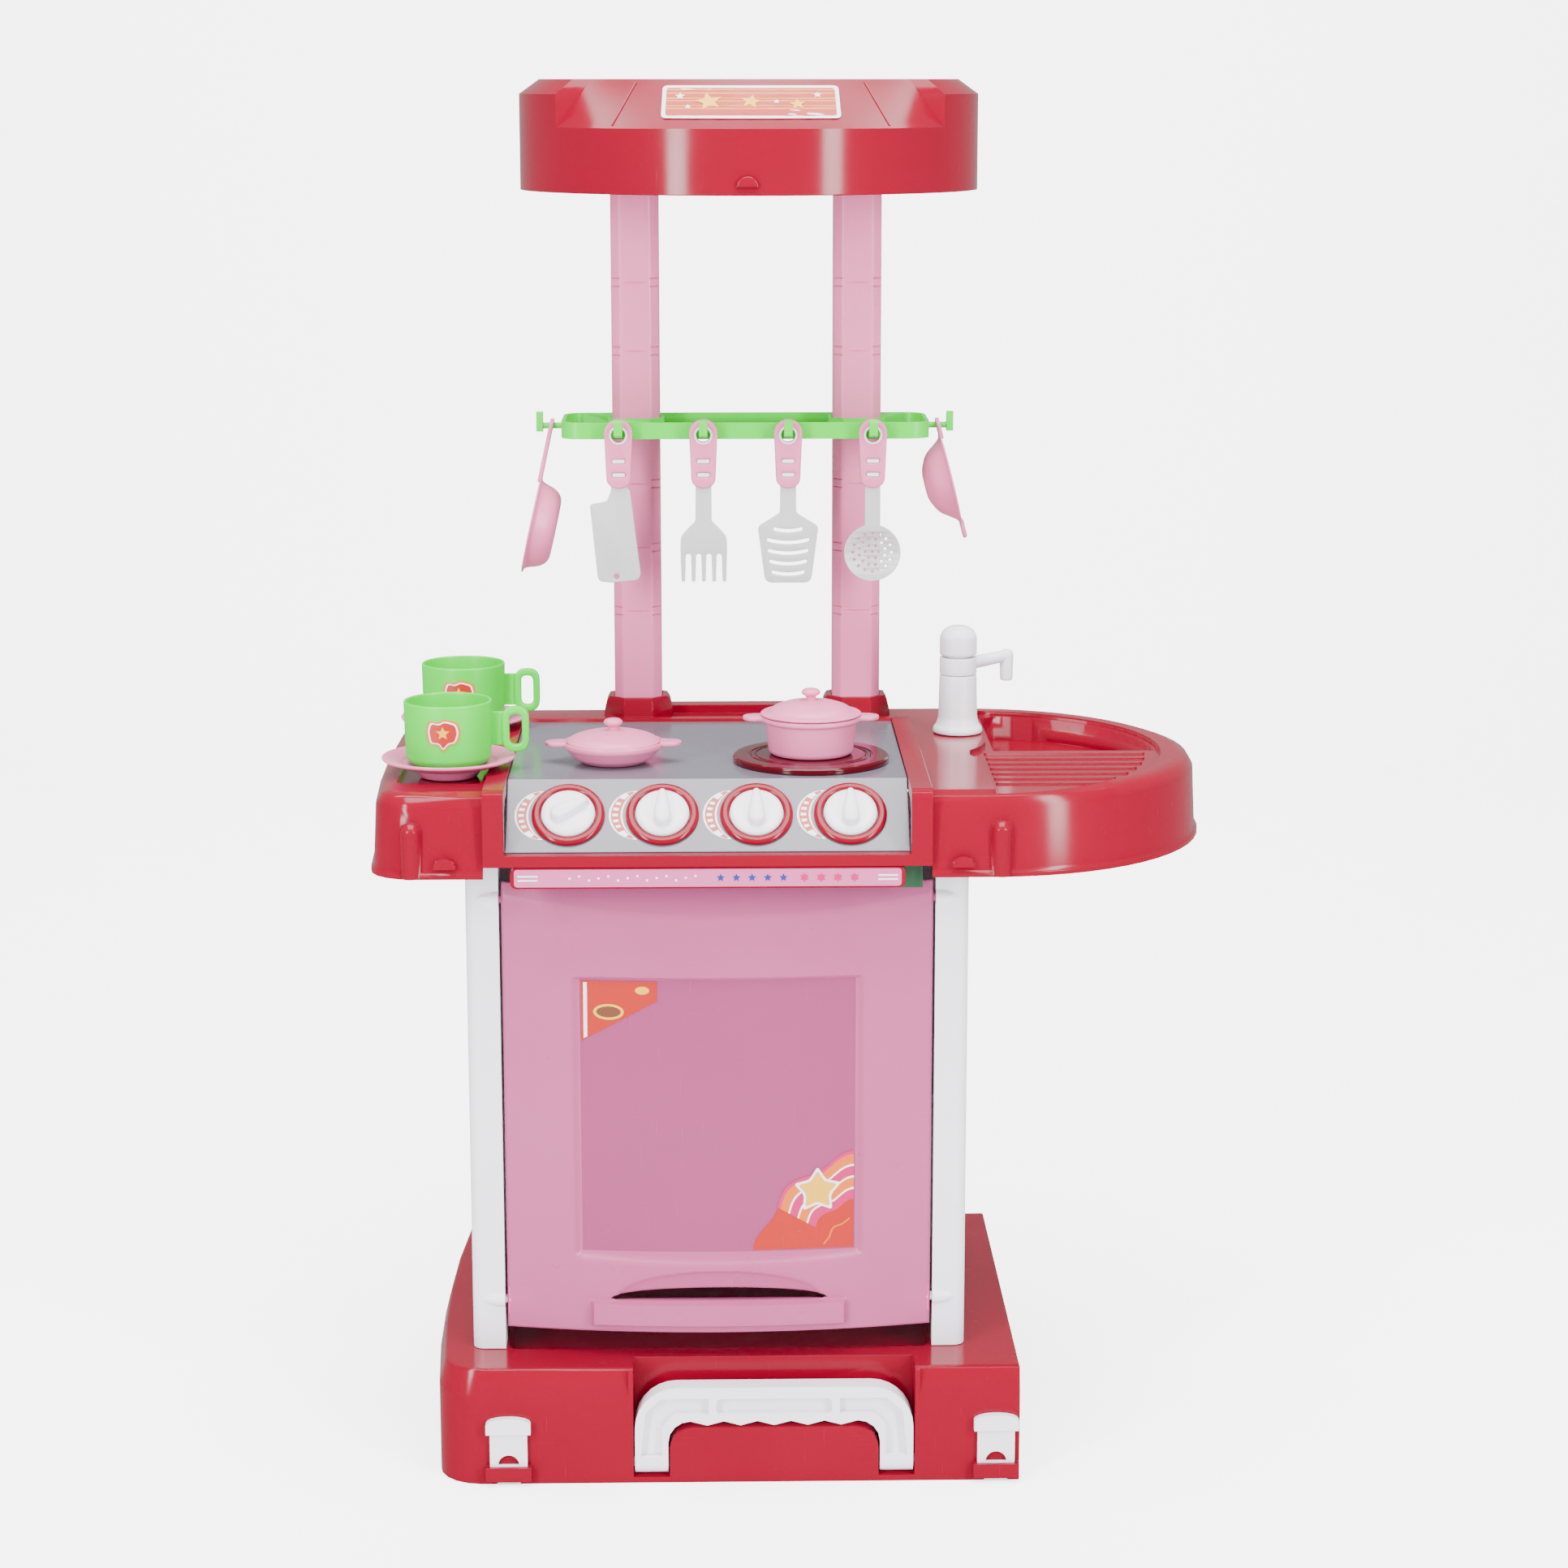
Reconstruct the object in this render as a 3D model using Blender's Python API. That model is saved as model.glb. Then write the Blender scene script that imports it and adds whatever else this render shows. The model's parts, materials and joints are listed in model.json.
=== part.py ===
"""Toy kitchen that folds into a carrying case.

A red case half is the base, two white side panels carry the red worktop, and two pink posts
carry a utensil rack and a canopy. Units are metres, +Z is up, the front faces -Y, and the
origin is under the middle of the worktop, on the floor.
"""
import math

import bmesh
import bpy
from mathutils import Matrix, Vector

# ---------------------------------------------------------------- clearances and walls
GAP = 0.0003                 # air left between two pieces that touch
RUNNING_GAP = 0.0004         # air around a pin, stem or rod that turns
WALL = 0.0025                # wall of the big moulded shells

# ---------------------------------------------------------------- overall sizes
CASE_DEPTH = 0.236           # front to back of both case halves
OVEN_WIDTH = 0.213           # between the side panels
OVEN_HEIGHT = 0.2485         # from the base's top to the worktop's rim
FRONT = -CASE_DEPTH / 2
BACK = CASE_DEPTH / 2
LATCH_STANDS_OUT = 0.0045    # the latches are the only thing in front of the case

# ---------------------------------------------------------------- base
OVEN_LEFT = -0.144           # inner faces of the side panels
OVEN_RIGHT = OVEN_LEFT + OVEN_WIDTH
PANEL_THICK = 0.0165
BASE_LEFT = OVEN_LEFT - PANEL_THICK - 0.0205
BASE_RIGHT = OVEN_RIGHT + PANEL_THICK + 0.0255
BASE_HEIGHT = 0.059
BASE_CORNER = 0.022          # radius of the two left corners
BASE_BULGE = 0.004           # how far the left side swells
BASE_CREASE = 0.013          # height of the bevel below the top
BASE_FLOOR_DROP = 0.003      # sunken floor between the side panels

# ---------------------------------------------------------------- carrying handle
HANDLE_WIDTH = 0.1378
HANDLE_LEFT = (OVEN_LEFT + OVEN_RIGHT) / 2 + 0.027 - HANDLE_WIDTH / 2
HANDLE_RIGHT = HANDLE_LEFT + HANDLE_WIDTH
HANDLE_TOP = 0.0493
HANDLE_GRIP = 0.0175         # height of the grip
HANDLE_LEG = 0.0165          # width of each leg
HANDLE_THICK = 0.011
HANDLE_SIDE_GAP = 0.0006
HANDLE_PIN_RADIUS = 0.0025
HANDLE_PIN_LENGTH = 0.0022
HANDLE_POCKET = 0.004        # depth of the three moulded pockets
RECESS_DEPTH = 0.018
RECESS_FLOOR = 0.003

# ---------------------------------------------------------------- latches
LATCH_CENTRES = (BASE_LEFT + 0.0393, BASE_RIGHT - 0.0117)
LATCH_WIDTH = 0.0185
LATCH_THICK = 0.0018
LATCH_HEAD_WIDTH = 0.0221
LATCH_WINDOW = 0.0052        # radius of the half-round window
GUIDE_TOP = 0.010
GUIDE_WIDTH = 0.0227

# ---------------------------------------------------------------- side panels and oven
PANEL_FRONT = FRONT + 0.030
PANEL_DEPTH = CASE_DEPTH - 0.060
PANEL_WEB = 0.003
PANEL_POST = 0.014           # depth of the front and rear edges of a side panel
BACK_SHEET = 0.0025
BACK_SEAM = 0.003
SHELF_THICK = 0.0025
SHELF_HEIGHT = 0.1238        # shelf's underside above the base
PANEL_RIB = 0.0025

# ---------------------------------------------------------------- oven door
DOOR_SIDE_GAP = 0.0013
DOOR_THICK = 0.0026
DOOR_BULGE = 0.011
DOOR_TOP_OVER_AXIS = 0.0085
DOOR_HEIGHT = OVEN_HEIGHT - 0.021
DOOR_AXIS_DROP = 0.017       # hinge axis below the worktop's rim
DOOR_AXIS_BEHIND = 0.0015    # hinge axis behind the front of the side panels
PIVOT_RADIUS = 0.0022
WINDOW_WIDTH = OVEN_WIDTH - 0.071
WINDOW_HEIGHT = DOOR_HEIGHT - 0.0847
WINDOW_TOP_DROP = 0.0457     # window's top below the door's top
WINDOW_SUNK = 0.0030
DOOR_GRIP_WIDTH = OVEN_WIDTH - 0.086
DOOR_GRIP_HEIGHT = 0.0135
DOOR_SLOT_WIDTH = DOOR_GRIP_WIDTH - 0.020
CLIP_SIZE = 0.0135

# ---------------------------------------------------------------- worktop
WORKTOP_LEFT = OVEN_LEFT - 0.0635
SINK_START = OVEN_RIGHT + 0.027     # where the straight sides turn into the round end
WORKTOP_RIGHT = SINK_START + 0.1115
WORKTOP_CORNER = 0.022
WORKTOP_BULGE = 0.003
WORKTOP_BOTTOM = BASE_HEIGHT + OVEN_HEIGHT
WORKTOP_RIM = 0.0405         # height of the worktop shell
WORKTOP_TOP = WORKTOP_BOTTOM + WORKTOP_RIM
WORKTOP_PLATE = 0.0045
SHOULDER = 0.012             # how far the top edge is set in
RIDGE_WIDTH = 0.0105
RIDGE_RISE = 0.0025
BAND_BOTTOM = WORKTOP_BOTTOM + 0.006
PILLAR_RADIUS = 0.005

# ---------------------------------------------------------------- cooktop
COOKTOP_LEFT = OVEN_LEFT + 0.0053
COOKTOP_WIDTH = OVEN_WIDTH - 0.0195
COOKTOP_RIGHT = COOKTOP_LEFT + COOKTOP_WIDTH
COOKTOP_BACK = BACK - 0.053
COOKTOP_THICK = 0.0025
COOKTOP_RISE = 0.001         # flat top above the worktop
SLOPE_BACK = FRONT + 0.035
SLOPE_FRONT = FRONT + 0.005
SLOPE_DROP = 0.0295
LEDGE = 0.003

# ---------------------------------------------------------------- knobs
KNOB_COUNT = 4
KNOB_SPACING = COOKTOP_WIDTH * 0.234
KNOB_RADIUS = 0.0129
KNOB_HEIGHT = 0.0036
KNOB_RIDGE_HEIGHT = 0.0055
KNOB_STEM = 0.003
BEZEL_RADIUS = KNOB_RADIUS + 0.0049
BEZEL_HEIGHT = 0.0022
FIRST_KNOB_TURN = 62         # degrees clockwise, the others point up

# ---------------------------------------------------------------- burner and electronics
BURNER_X = COOKTOP_RIGHT - 0.0454
BURNER_Y = FRONT + 0.0785
BURNER_RADIUS = 0.0388
BURNER_HEIGHT = 0.0032
BURNER_PLUG = 0.030
BURNER_RING = 0.0303         # radius of the fine groove in its top
LAMP_RADIUS = 0.0055

# ---------------------------------------------------------------- sink and left tray
BASIN_DEPTH = 0.0145
BASIN_INSET = 0.022
BASIN_LEFT = SINK_START + 0.0075
BASIN_FRONT = -0.0015
DRAINER_SUNK = 0.0022         # draining board below the worktop
DRAINER_INSET = 0.0195        # its edge inside the round end
DRAINER_FRONT = 0.0080        # its edge behind the worktop's front
DRAIN_RADIUS = 0.0100
RIB_COUNT = 7
RIB_PITCH = (BASIN_FRONT - FRONT) * 0.1047
RIB_HEIGHT = 0.0008
TRAY_SUNK = 0.0025

# ---------------------------------------------------------------- faucet
FAUCET_X = SINK_START - 0.008
FAUCET_Y = 0.0375
FAUCET_RADIUS = 0.0096
FAUCET_COLUMN = 0.0306
FAUCET_COLLAR = 0.0090
FAUCET_CAP = 0.0158
FAUCET_NECK = 0.0060
SPOUT_REACH = 0.0290
SPOUT_RADIUS = 0.0031
SPOUT_TURN = 25              # degrees from the sink's long side
SPOUT_RISE = 6               # degrees

# ---------------------------------------------------------------- posts, canopy and rack
POST_CENTRES = (COOKTOP_LEFT + 0.0600, COOKTOP_RIGHT - 0.0180)
POST_WIDTH = 0.0250
POST_DEPTH = 0.0240
POST_Y = BACK - 0.029
POST_CHAMFER = 0.005
SOCKET_WALL = 0.003
SOCKET_RISE = 0.012
SOCKET_FLOOR = 0.0015
CANOPY_OVER_WORKTOP = 0.2765
CANOPY_BOTTOM = WORKTOP_TOP + CANOPY_OVER_WORKTOP
CANOPY_BAND = 0.0335
CANOPY_ROOF = 0.023
CANOPY_TOP = CANOPY_BOTTOM + CANOPY_BAND + CANOPY_ROOF
CANOPY_WIDTH = POST_CENTRES[1] - POST_CENTRES[0] + 0.1245
CANOPY_DEPTH = 0.1125
CANOPY_X = (POST_CENTRES[0] + POST_CENTRES[1]) / 2 + 0.00195
CANOPY_WALL = 0.0025
RACK_X = (POST_CENTRES[0] + POST_CENTRES[1]) / 2 - 0.00085
RACK_OVER_WORKTOP = 0.1517   # underside of the rack above the worktop
RACK_BOTTOM = WORKTOP_TOP + RACK_OVER_WORKTOP
RACK_HEIGHT = 0.0085
RACK_WIDTH = POST_CENTRES[1] - POST_CENTRES[0] + 0.0745
RACK_FRONT = POST_Y - 0.039
RACK_BACK = POST_Y + 0.0155
RACK_WALL = 0.0020
RACK_FLOOR = 0.0018
HOOK_SPACING = RACK_WIDTH * 0.229
HOOK_WIDTH = 0.0044
HOOK_REACH = 0.0145
ARM_REACH = 0.0137
ARM_RADIUS = 0.0016
HOLE_RADIUS = 0.0036

# ---------------------------------------------------------------- utensils
GRIP_WIDTH = 0.0146
GRIP_LENGTH = 0.0350
GRIP_THICK = 0.0048
HEAD_THICK = 0.0016
SHANK_WIDTH = 0.0080
SHANK_INSIDE = 0.0210

# ---------------------------------------------------------------- crockery and pans
CUP_RADIUS = 0.0216
CUP_HEIGHT = 0.0310
CUP_WALL = 0.0016
SAUCER_RADIUS = 0.0328
SAUCER_X = WORKTOP_LEFT + 0.0385
CUP_PLACES = (-0.246 * CASE_DEPTH, 0.212 * CASE_DEPTH)
PAN_X, PAN_Y = COOKTOP_LEFT + 0.0500, FRONT + 0.0765
PAN_RADIUS = 0.0248
PAN_HEIGHT = 0.0105
POT_RADIUS = 0.0226
POT_HEIGHT = 0.0190
POT_Y = BURNER_Y + 0.001
TAB_REACH = 0.0090
HANGING_RADIUS = 0.0243
HANGING_DEPTH = 0.0135
WOK_RADIUS = 0.0233
WOK_DEPTH = 0.0145

# Heights that several pieces share
COOKTOP_TOP = WORKTOP_TOP + COOKTOP_RISE
HINGE_Y = PANEL_FRONT + DOOR_AXIS_BEHIND
HINGE_Z = WORKTOP_BOTTOM - DOOR_AXIS_DROP
CATCH_Z = BASE_HEIGHT + 0.0262
SLOPE_ANGLE = math.atan2(SLOPE_DROP, SLOPE_BACK - SLOPE_FRONT)
KNOB_MIDDLE = COOKTOP_LEFT + COOKTOP_WIDTH / 2 + 0.0008
ARM_Y = (RACK_FRONT + RACK_BACK) / 2
HOOK_Z = RACK_BOTTOM + 0.0036


# ================================================================= materials
def linear(level):
    """Turn one screen colour level (0 to 1) into the linear level a shader wants."""
    return level / 12.92 if level <= 0.04045 else ((level + 0.055) / 1.055) ** 2.4


def plastic(name, red, green, blue, roughness, alpha=1.0):
    """A Principled material from a screen colour given in 0 to 255."""
    made = bpy.data.materials.new(name)
    made.use_nodes = True
    shader = made.node_tree.nodes["Principled BSDF"]
    colour = [linear(level / 255) for level in (red, green, blue)]
    shader.inputs["Base Color"].default_value = (*colour, 1.0)
    shader.inputs["Roughness"].default_value = roughness
    shader.inputs["Metallic"].default_value = 0.0
    shader.inputs["Alpha"].default_value = alpha
    made.diffuse_color = (*colour, alpha)
    return made


def make_materials():
    return {
        "red": plastic("red_plastic", 205, 28, 62, 0.25),
        "pink": plastic("pink_plastic", 251, 180, 211, 0.32),
        "white": plastic("white_plastic", 236, 234, 242, 0.30),
        "green": plastic("green_plastic", 108, 235, 100, 0.32),
        "grey": plastic("grey_plastic", 176, 174, 188, 0.28),
        "door": plastic("door_plastic", 228, 140, 186, 0.30, 0.85),
        "lens": plastic("lens_plastic", 150, 14, 34, 0.10, 0.85),
        "board": plastic("circuit_board", 28, 70, 44, 0.55),
        "black": plastic("black_plastic", 30, 30, 34, 0.50),
        "steel": plastic("screw_steel", 170, 170, 172, 0.35),
    }


# ================================================================= shape helpers
def solid(name, points, faces, material=None):
    """Make one object from points and faces, with its faces turned outward."""
    mesh = bpy.data.meshes.new(name)
    mesh.from_pydata([tuple(point) for point in points], [], faces)
    shell = bmesh.new()
    shell.from_mesh(mesh)
    bmesh.ops.remove_doubles(shell, verts=shell.verts, dist=1e-7)
    bmesh.ops.recalc_face_normals(shell, faces=shell.faces)
    shell.to_mesh(mesh)
    shell.free()
    if material:
        mesh.materials.append(material)
    mesh.shade_smooth()
    mesh.set_sharp_from_angle(angle=math.radians(32))
    made = bpy.data.objects.new(name, mesh)
    bpy.context.scene.collection.objects.link(made)
    return made


def loft(name, rings, material=None):
    """Skin a stack of equal rings and close both ends."""
    count = len(rings[0])
    points = [point for ring in rings for point in ring]
    faces = [tuple(range(count))]
    faces.append(tuple(range((len(rings) - 1) * count, len(rings) * count)))
    for level in range(len(rings) - 1):
        for step in range(count):
            after = (step + 1) % count
            low, high = level * count, (level + 1) * count
            faces.append((low + step, low + after, high + after, high + step))
    return solid(name, points, faces, material)


def prism(name, outline, low, high, axis="z", material=None):
    """Extrude a flat outline along one world axis."""
    order = {"x": lambda u, v, w: (w, u, v), "y": lambda u, v, w: (u, w, v),
             "z": lambda u, v, w: (u, v, w)}[axis]
    rings = [[order(u, v, w) for u, v in outline] for w in (low, high)]
    return loft(name, rings, material)


def block(name, low, high, material=None):
    """A box from its lowest to its highest corner."""
    outline = [(low[0], low[1]), (high[0], low[1]), (high[0], high[1]), (low[0], high[1])]
    return prism(name, outline, low[2], high[2], "z", material)


def turned(name, profile, centre, segments=28, frame=None, material=None, closed=False):
    """Turn a profile of (radius, height) about an axis through the centre.

    A radius of zero is a point on the axis. A closed profile makes a ring.
    """
    points, rows = [], []
    for radius, height in profile:
        if radius == 0:
            rows.append([len(points)])
            points.append(Vector((0, 0, height)))
            continue
        rows.append([len(points) + step for step in range(segments)])
        for step in range(segments):
            angle = 2 * math.pi * step / segments
            points.append(Vector((radius * math.cos(angle), radius * math.sin(angle), height)))
    faces = []
    pairs = list(zip(rows, rows[1:] + rows[:1])) if closed else list(zip(rows, rows[1:]))
    for lower, upper in pairs:
        for step in range(segments):
            after = (step + 1) % segments
            if len(lower) == 1:
                faces.append((lower[0], upper[after], upper[step]))
            elif len(upper) == 1:
                faces.append((lower[step], lower[after], upper[0]))
            else:
                faces.append((lower[step], lower[after], upper[after], upper[step]))
    frame = frame or Matrix.Identity(3)
    placed = [Vector(centre) + frame @ point for point in points]
    return solid(name, placed, faces, material)


def rod(name, start, end, radius, segments=16, material=None):
    """A plain round rod between two points."""
    start, end = Vector(start), Vector(end)
    frame = (end - start).to_track_quat("Z", "Y").to_matrix()
    length = (end - start).length
    profile = [(0, 0), (radius, 0), (radius, length), (0, length)]
    return turned(name, profile, start, segments, frame, material)


def many(name, pieces, material=None):
    """Join several closed pieces into one helper object."""
    points, faces = [], []
    for piece in pieces:
        first = len(points)
        points += [vertex.co.copy() for vertex in piece.data.vertices]
        faces += [[first + index for index in face.vertices] for face in piece.data.polygons]
        bpy.data.objects.remove(piece)
    return solid(name, points, faces, material)


def boolean(target, tool, operation):
    step = target.modifiers.new(tool.name, "BOOLEAN")
    step.operation = operation
    step.solver = "EXACT"
    step.object = tool
    tool.hide_render = True
    tool.display_type = "WIRE"


def cut(target, *tools):
    for tool in tools:
        boolean(target, tool, "DIFFERENCE")


def add(target, *tools):
    for tool in tools:
        boolean(target, tool, "UNION")


def soften(target, width, segments=2):
    """Round the sharp edges of a plain shape."""
    step = target.modifiers.new("rounded_edges", "BEVEL")
    step.width = width
    step.segments = segments
    step.limit_method = "ANGLE"
    step.angle_limit = math.radians(40)


def pivot_at(moving, point):
    """Put the object's origin on its joint, with the shape left where it is."""
    point = Vector(point)
    moving.data.transform(Matrix.Translation(-point))
    moving.location = point


def rounded(left, right, low, high, radius, steps=4):
    """A rectangle with round corners, anticlockwise."""
    corners = [(right - radius, high - radius, 0), (left + radius, high - radius, 90),
               (left + radius, low + radius, 180), (right - radius, low + radius, 270)]
    outline = []
    for across, up, start in corners:
        for step in range(steps + 1):
            angle = math.radians(start + 90 * step / steps)
            outline.append((across + radius * math.cos(angle), up + radius * math.sin(angle)))
    return outline


def arc(across, up, radius, start, end, steps):
    """Points on an arc, angles in degrees."""
    turns = [math.radians(start + (end - start) * step / steps) for step in range(steps + 1)]
    return [(across + radius * math.cos(turn), up + radius * math.sin(turn)) for turn in turns]


# ================================================================= base
def base_outline(inset, right_inset):
    """Plan of the base: flat on the right, swelling with round corners on the left."""
    left, right = BASE_LEFT + BASE_BULGE + inset, BASE_RIGHT - right_inset
    low, high = FRONT + inset, BACK - inset
    radius = BASE_CORNER - inset
    outline = [(right, low), (right, high)]
    outline += arc(left + radius, high - radius, radius, 90, 180, 5)
    half = high - radius
    for step in (0.5, 0.0, -0.5):
        outline.append((left - BASE_BULGE * (1 - step * step), half * step))
    outline += arc(left + radius, low + radius, radius, 180, 270, 5)
    return outline


def base_ring(inset, right_inset, height):
    return [(across, along, height) for across, along in base_outline(inset, right_inset)]


def make_base(red):
    crease = BASE_HEIGHT - BASE_CREASE
    under = BASE_HEIGHT - 2 * BASE_FLOOR_DROP
    base = loft("base_shell", [
        base_ring(0.0045, 0.0005, BASE_HEIGHT), base_ring(0.0030, 0, BASE_HEIGHT - 0.0012),
        base_ring(0, 0, crease), base_ring(0, 0, 0),
        base_ring(WALL, WALL, 0), base_ring(WALL, WALL, crease),
        base_ring(WALL + 0.004, WALL, under)], red)
    floor = prism("sunken_floor", rounded(OVEN_LEFT + 0.002, OVEN_RIGHT - 0.002, PANEL_FRONT,
                                          PANEL_FRONT + PANEL_DEPTH, 0.004, 2),
                  BASE_HEIGHT - BASE_FLOOR_DROP, BASE_HEIGHT + 0.01)
    recess_left, recess_right = HANDLE_LEFT - HANDLE_SIDE_GAP, HANDLE_RIGHT + HANDLE_SIDE_GAP
    recess_back = FRONT + RECESS_DEPTH
    housing = block("handle_housing", (recess_left - WALL, FRONT, 0),
                    (recess_right + WALL, recess_back + WALL, BASE_HEIGHT - 0.001))
    grip_bottom = HANDLE_TOP - HANDLE_GRIP
    leg = HANDLE_LEG + 2 * HANDLE_SIDE_GAP
    left_wall, right_wall = recess_left + leg, recess_right - leg
    tongue_top, turn = grip_bottom - 0.0030, 0.0115
    channel = prism("handle_channel", [
        (recess_left, RECESS_FLOOR), (left_wall, RECESS_FLOOR),
        *arc(left_wall + turn, tongue_top - turn, turn, 180, 90, 5),
        *arc(right_wall - turn, tongue_top - turn, turn, 90, 0, 5), (right_wall, RECESS_FLOOR),
        (recess_right, RECESS_FLOOR), (recess_right, BASE_HEIGHT + 0.01),
        (recess_left, BASE_HEIGHT + 0.01)], FRONT - 0.01, recess_back, "y")
    pin_y, pin_z = handle_axis()
    pin_hole = rod("handle_pin_hole", (recess_left - WALL - 0.001, pin_y, pin_z),
                   (recess_right + WALL + 0.001, pin_y, pin_z),
                   HANDLE_PIN_RADIUS + RUNNING_GAP, 16)
    add(base, housing)
    cut(base, channel, pin_hole, floor)
    for index, centre in enumerate(LATCH_CENTRES):
        guide = block(f"latch_guide_{index}", (centre - GUIDE_WIDTH / 2, FRONT - 0.0045, 0.0026),
                      (centre + GUIDE_WIDTH / 2, FRONT + 0.001, GUIDE_TOP))
        slot = block(f"latch_slot_{index}",
                     (centre - LATCH_WIDTH / 2 - RUNNING_GAP, FRONT - LATCH_THICK - 2 * GAP, -0.01),
                     (centre + LATCH_WIDTH / 2 + RUNNING_GAP, FRONT, GUIDE_TOP + 0.01))
        add(base, guide)
        cut(base, slot)


def handle_axis():
    """Where the carrying handle turns, seen from the side."""
    return FRONT + 0.0005 + HANDLE_THICK / 2, RECESS_FLOOR + 0.0006 + HANDLE_THICK / 2


def handle_outline():
    """Front view of the arch, with a wavy underside for the fingers."""
    bottom = handle_axis()[1]
    outer, inner, waves = 0.021, 0.011, 5
    grip_bottom = HANDLE_TOP - HANDLE_GRIP
    inner_left, inner_right = HANDLE_LEFT + HANDLE_LEG, HANDLE_RIGHT - HANDLE_LEG
    outline = [(HANDLE_RIGHT, bottom)]
    outline += arc(HANDLE_RIGHT - outer, HANDLE_TOP - outer, outer, 0, 90, 7)
    outline += arc(HANDLE_LEFT + outer, HANDLE_TOP - outer, outer, 90, 180, 7)
    outline += [(HANDLE_LEFT, bottom), (inner_left, bottom)]
    outline += arc(inner_left + inner, grip_bottom - inner, inner, 180, 90, 4)
    span = inner_right - inner_left - 2 * inner
    for step in range(1, 4 * waves):
        wave = 0.0011 * (1 - math.cos(2 * math.pi * step / 4))
        outline.append((inner_left + inner + span * step / (4 * waves), grip_bottom - wave))
    outline += arc(inner_right - inner, grip_bottom - inner, inner, 90, 0, 4)
    outline.append((inner_right, bottom))
    return outline


def make_carry_handle(white):
    """The arch has round lower ends that turn on two short pins, and pockets in its face."""
    y, z = handle_axis()
    front, back = y - HANDLE_THICK / 2, y + HANDLE_THICK / 2
    handle = prism("carry_handle", handle_outline(), front, back, "y", white)
    lefts = (HANDLE_LEFT, HANDLE_RIGHT - HANDLE_LEG)
    for index, left in enumerate(lefts):
        end = rod(f"handle_end_{index}", (left, y, z), (left + HANDLE_LEG, y, z),
                  HANDLE_THICK / 2, 20)
        add(handle, end)
    pin_starts = (HANDLE_LEFT - HANDLE_PIN_LENGTH, HANDLE_RIGHT - 0.002)
    for index, start in enumerate(pin_starts):
        pin = rod(f"handle_pin_{index}", (start, y, z), (start + HANDLE_PIN_LENGTH + 0.002, y, z),
                  HANDLE_PIN_RADIUS, 16)
        add(handle, pin)
    rim, middle = 0.0030, (HANDLE_LEFT + HANDLE_RIGHT) / 2
    pocket_top, pocket_low = HANDLE_TOP - 0.006, HANDLE_TOP - HANDLE_GRIP + 0.0035
    pockets = []
    grip_pocket = rounded(middle - 0.0285, middle + 0.0285, pocket_low, pocket_top, 0.002, 2)
    pockets.append(prism("grip_pocket", grip_pocket, front - 0.01, front + HANDLE_POCKET, "y"))
    for side, left in enumerate(lefts):
        outer_edge = left + rim if side == 0 else left + HANDLE_LEG - rim
        inner_edge = left + HANDLE_LEG - rim if side == 0 else left + rim
        turn = middle - 0.0325 if side == 0 else middle + 0.0325
        bend = 0.010 if side == 0 else -0.010
        leg_pocket = [(outer_edge, z + 0.004), (inner_edge, z + 0.004),
                      (inner_edge, pocket_low - 0.006), (inner_edge + bend * 0.6, pocket_low),
                      (turn, pocket_low), (turn, pocket_top), (outer_edge + bend, pocket_top),
                      (outer_edge + bend * 0.25, pocket_top - 0.007)]
        pockets.append(prism(f"leg_pocket_{side}", leg_pocket, front - 0.01,
                             front + HANDLE_POCKET, "y"))
    cut(handle, many("handle_pockets", pockets))
    pivot_at(handle, ((HANDLE_LEFT + HANDLE_RIGHT) / 2, y, z))


def make_latch(name, centre, white):
    """A flat slider with a domed thumb rest and a half-round window."""
    plate_back = FRONT - GAP
    plate_front = plate_back - LATCH_THICK
    half = LATCH_WIDTH / 2
    latch = block(name, (centre - half, plate_front, 0.0006), (centre + half, plate_back, 0.030),
                  white)
    dome_low, dome_side, dome_top = 0.0273, 0.0325, 0.0357
    head_half = LATCH_HEAD_WIDTH / 2
    crown = [(centre + head_half * math.cos(math.radians(turn)),
              dome_side + (dome_top - dome_side) * math.sin(math.radians(turn)))
             for turn in range(0, 181, 20)]
    head = prism(name + "_head", [(centre - head_half, dome_low), (centre + head_half, dome_low)]
                 + crown, plate_front - 0.0022, plate_back, "y")
    window = arc(centre, GUIDE_TOP + 0.0007, LATCH_WINDOW, 0, 180, 10)
    opening = prism(name + "_window", window, plate_front - 0.01, plate_back + 0.01, "y")
    corners = many(name + "_corners", [
        block(name + "_corner_0", (centre - half - 0.001, plate_front - 0.001, -0.001),
              (centre - 0.0056, plate_back + 0.001, GUIDE_TOP - 0.0045)),
        block(name + "_corner_1", (centre + 0.0056, plate_front - 0.001, -0.001),
              (centre + half + 0.001, plate_back + 0.001, GUIDE_TOP - 0.0045))])
    add(latch, head)
    cut(latch, opening, corners)
    pivot_at(latch, (centre, plate_back, 0.0006))


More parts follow.
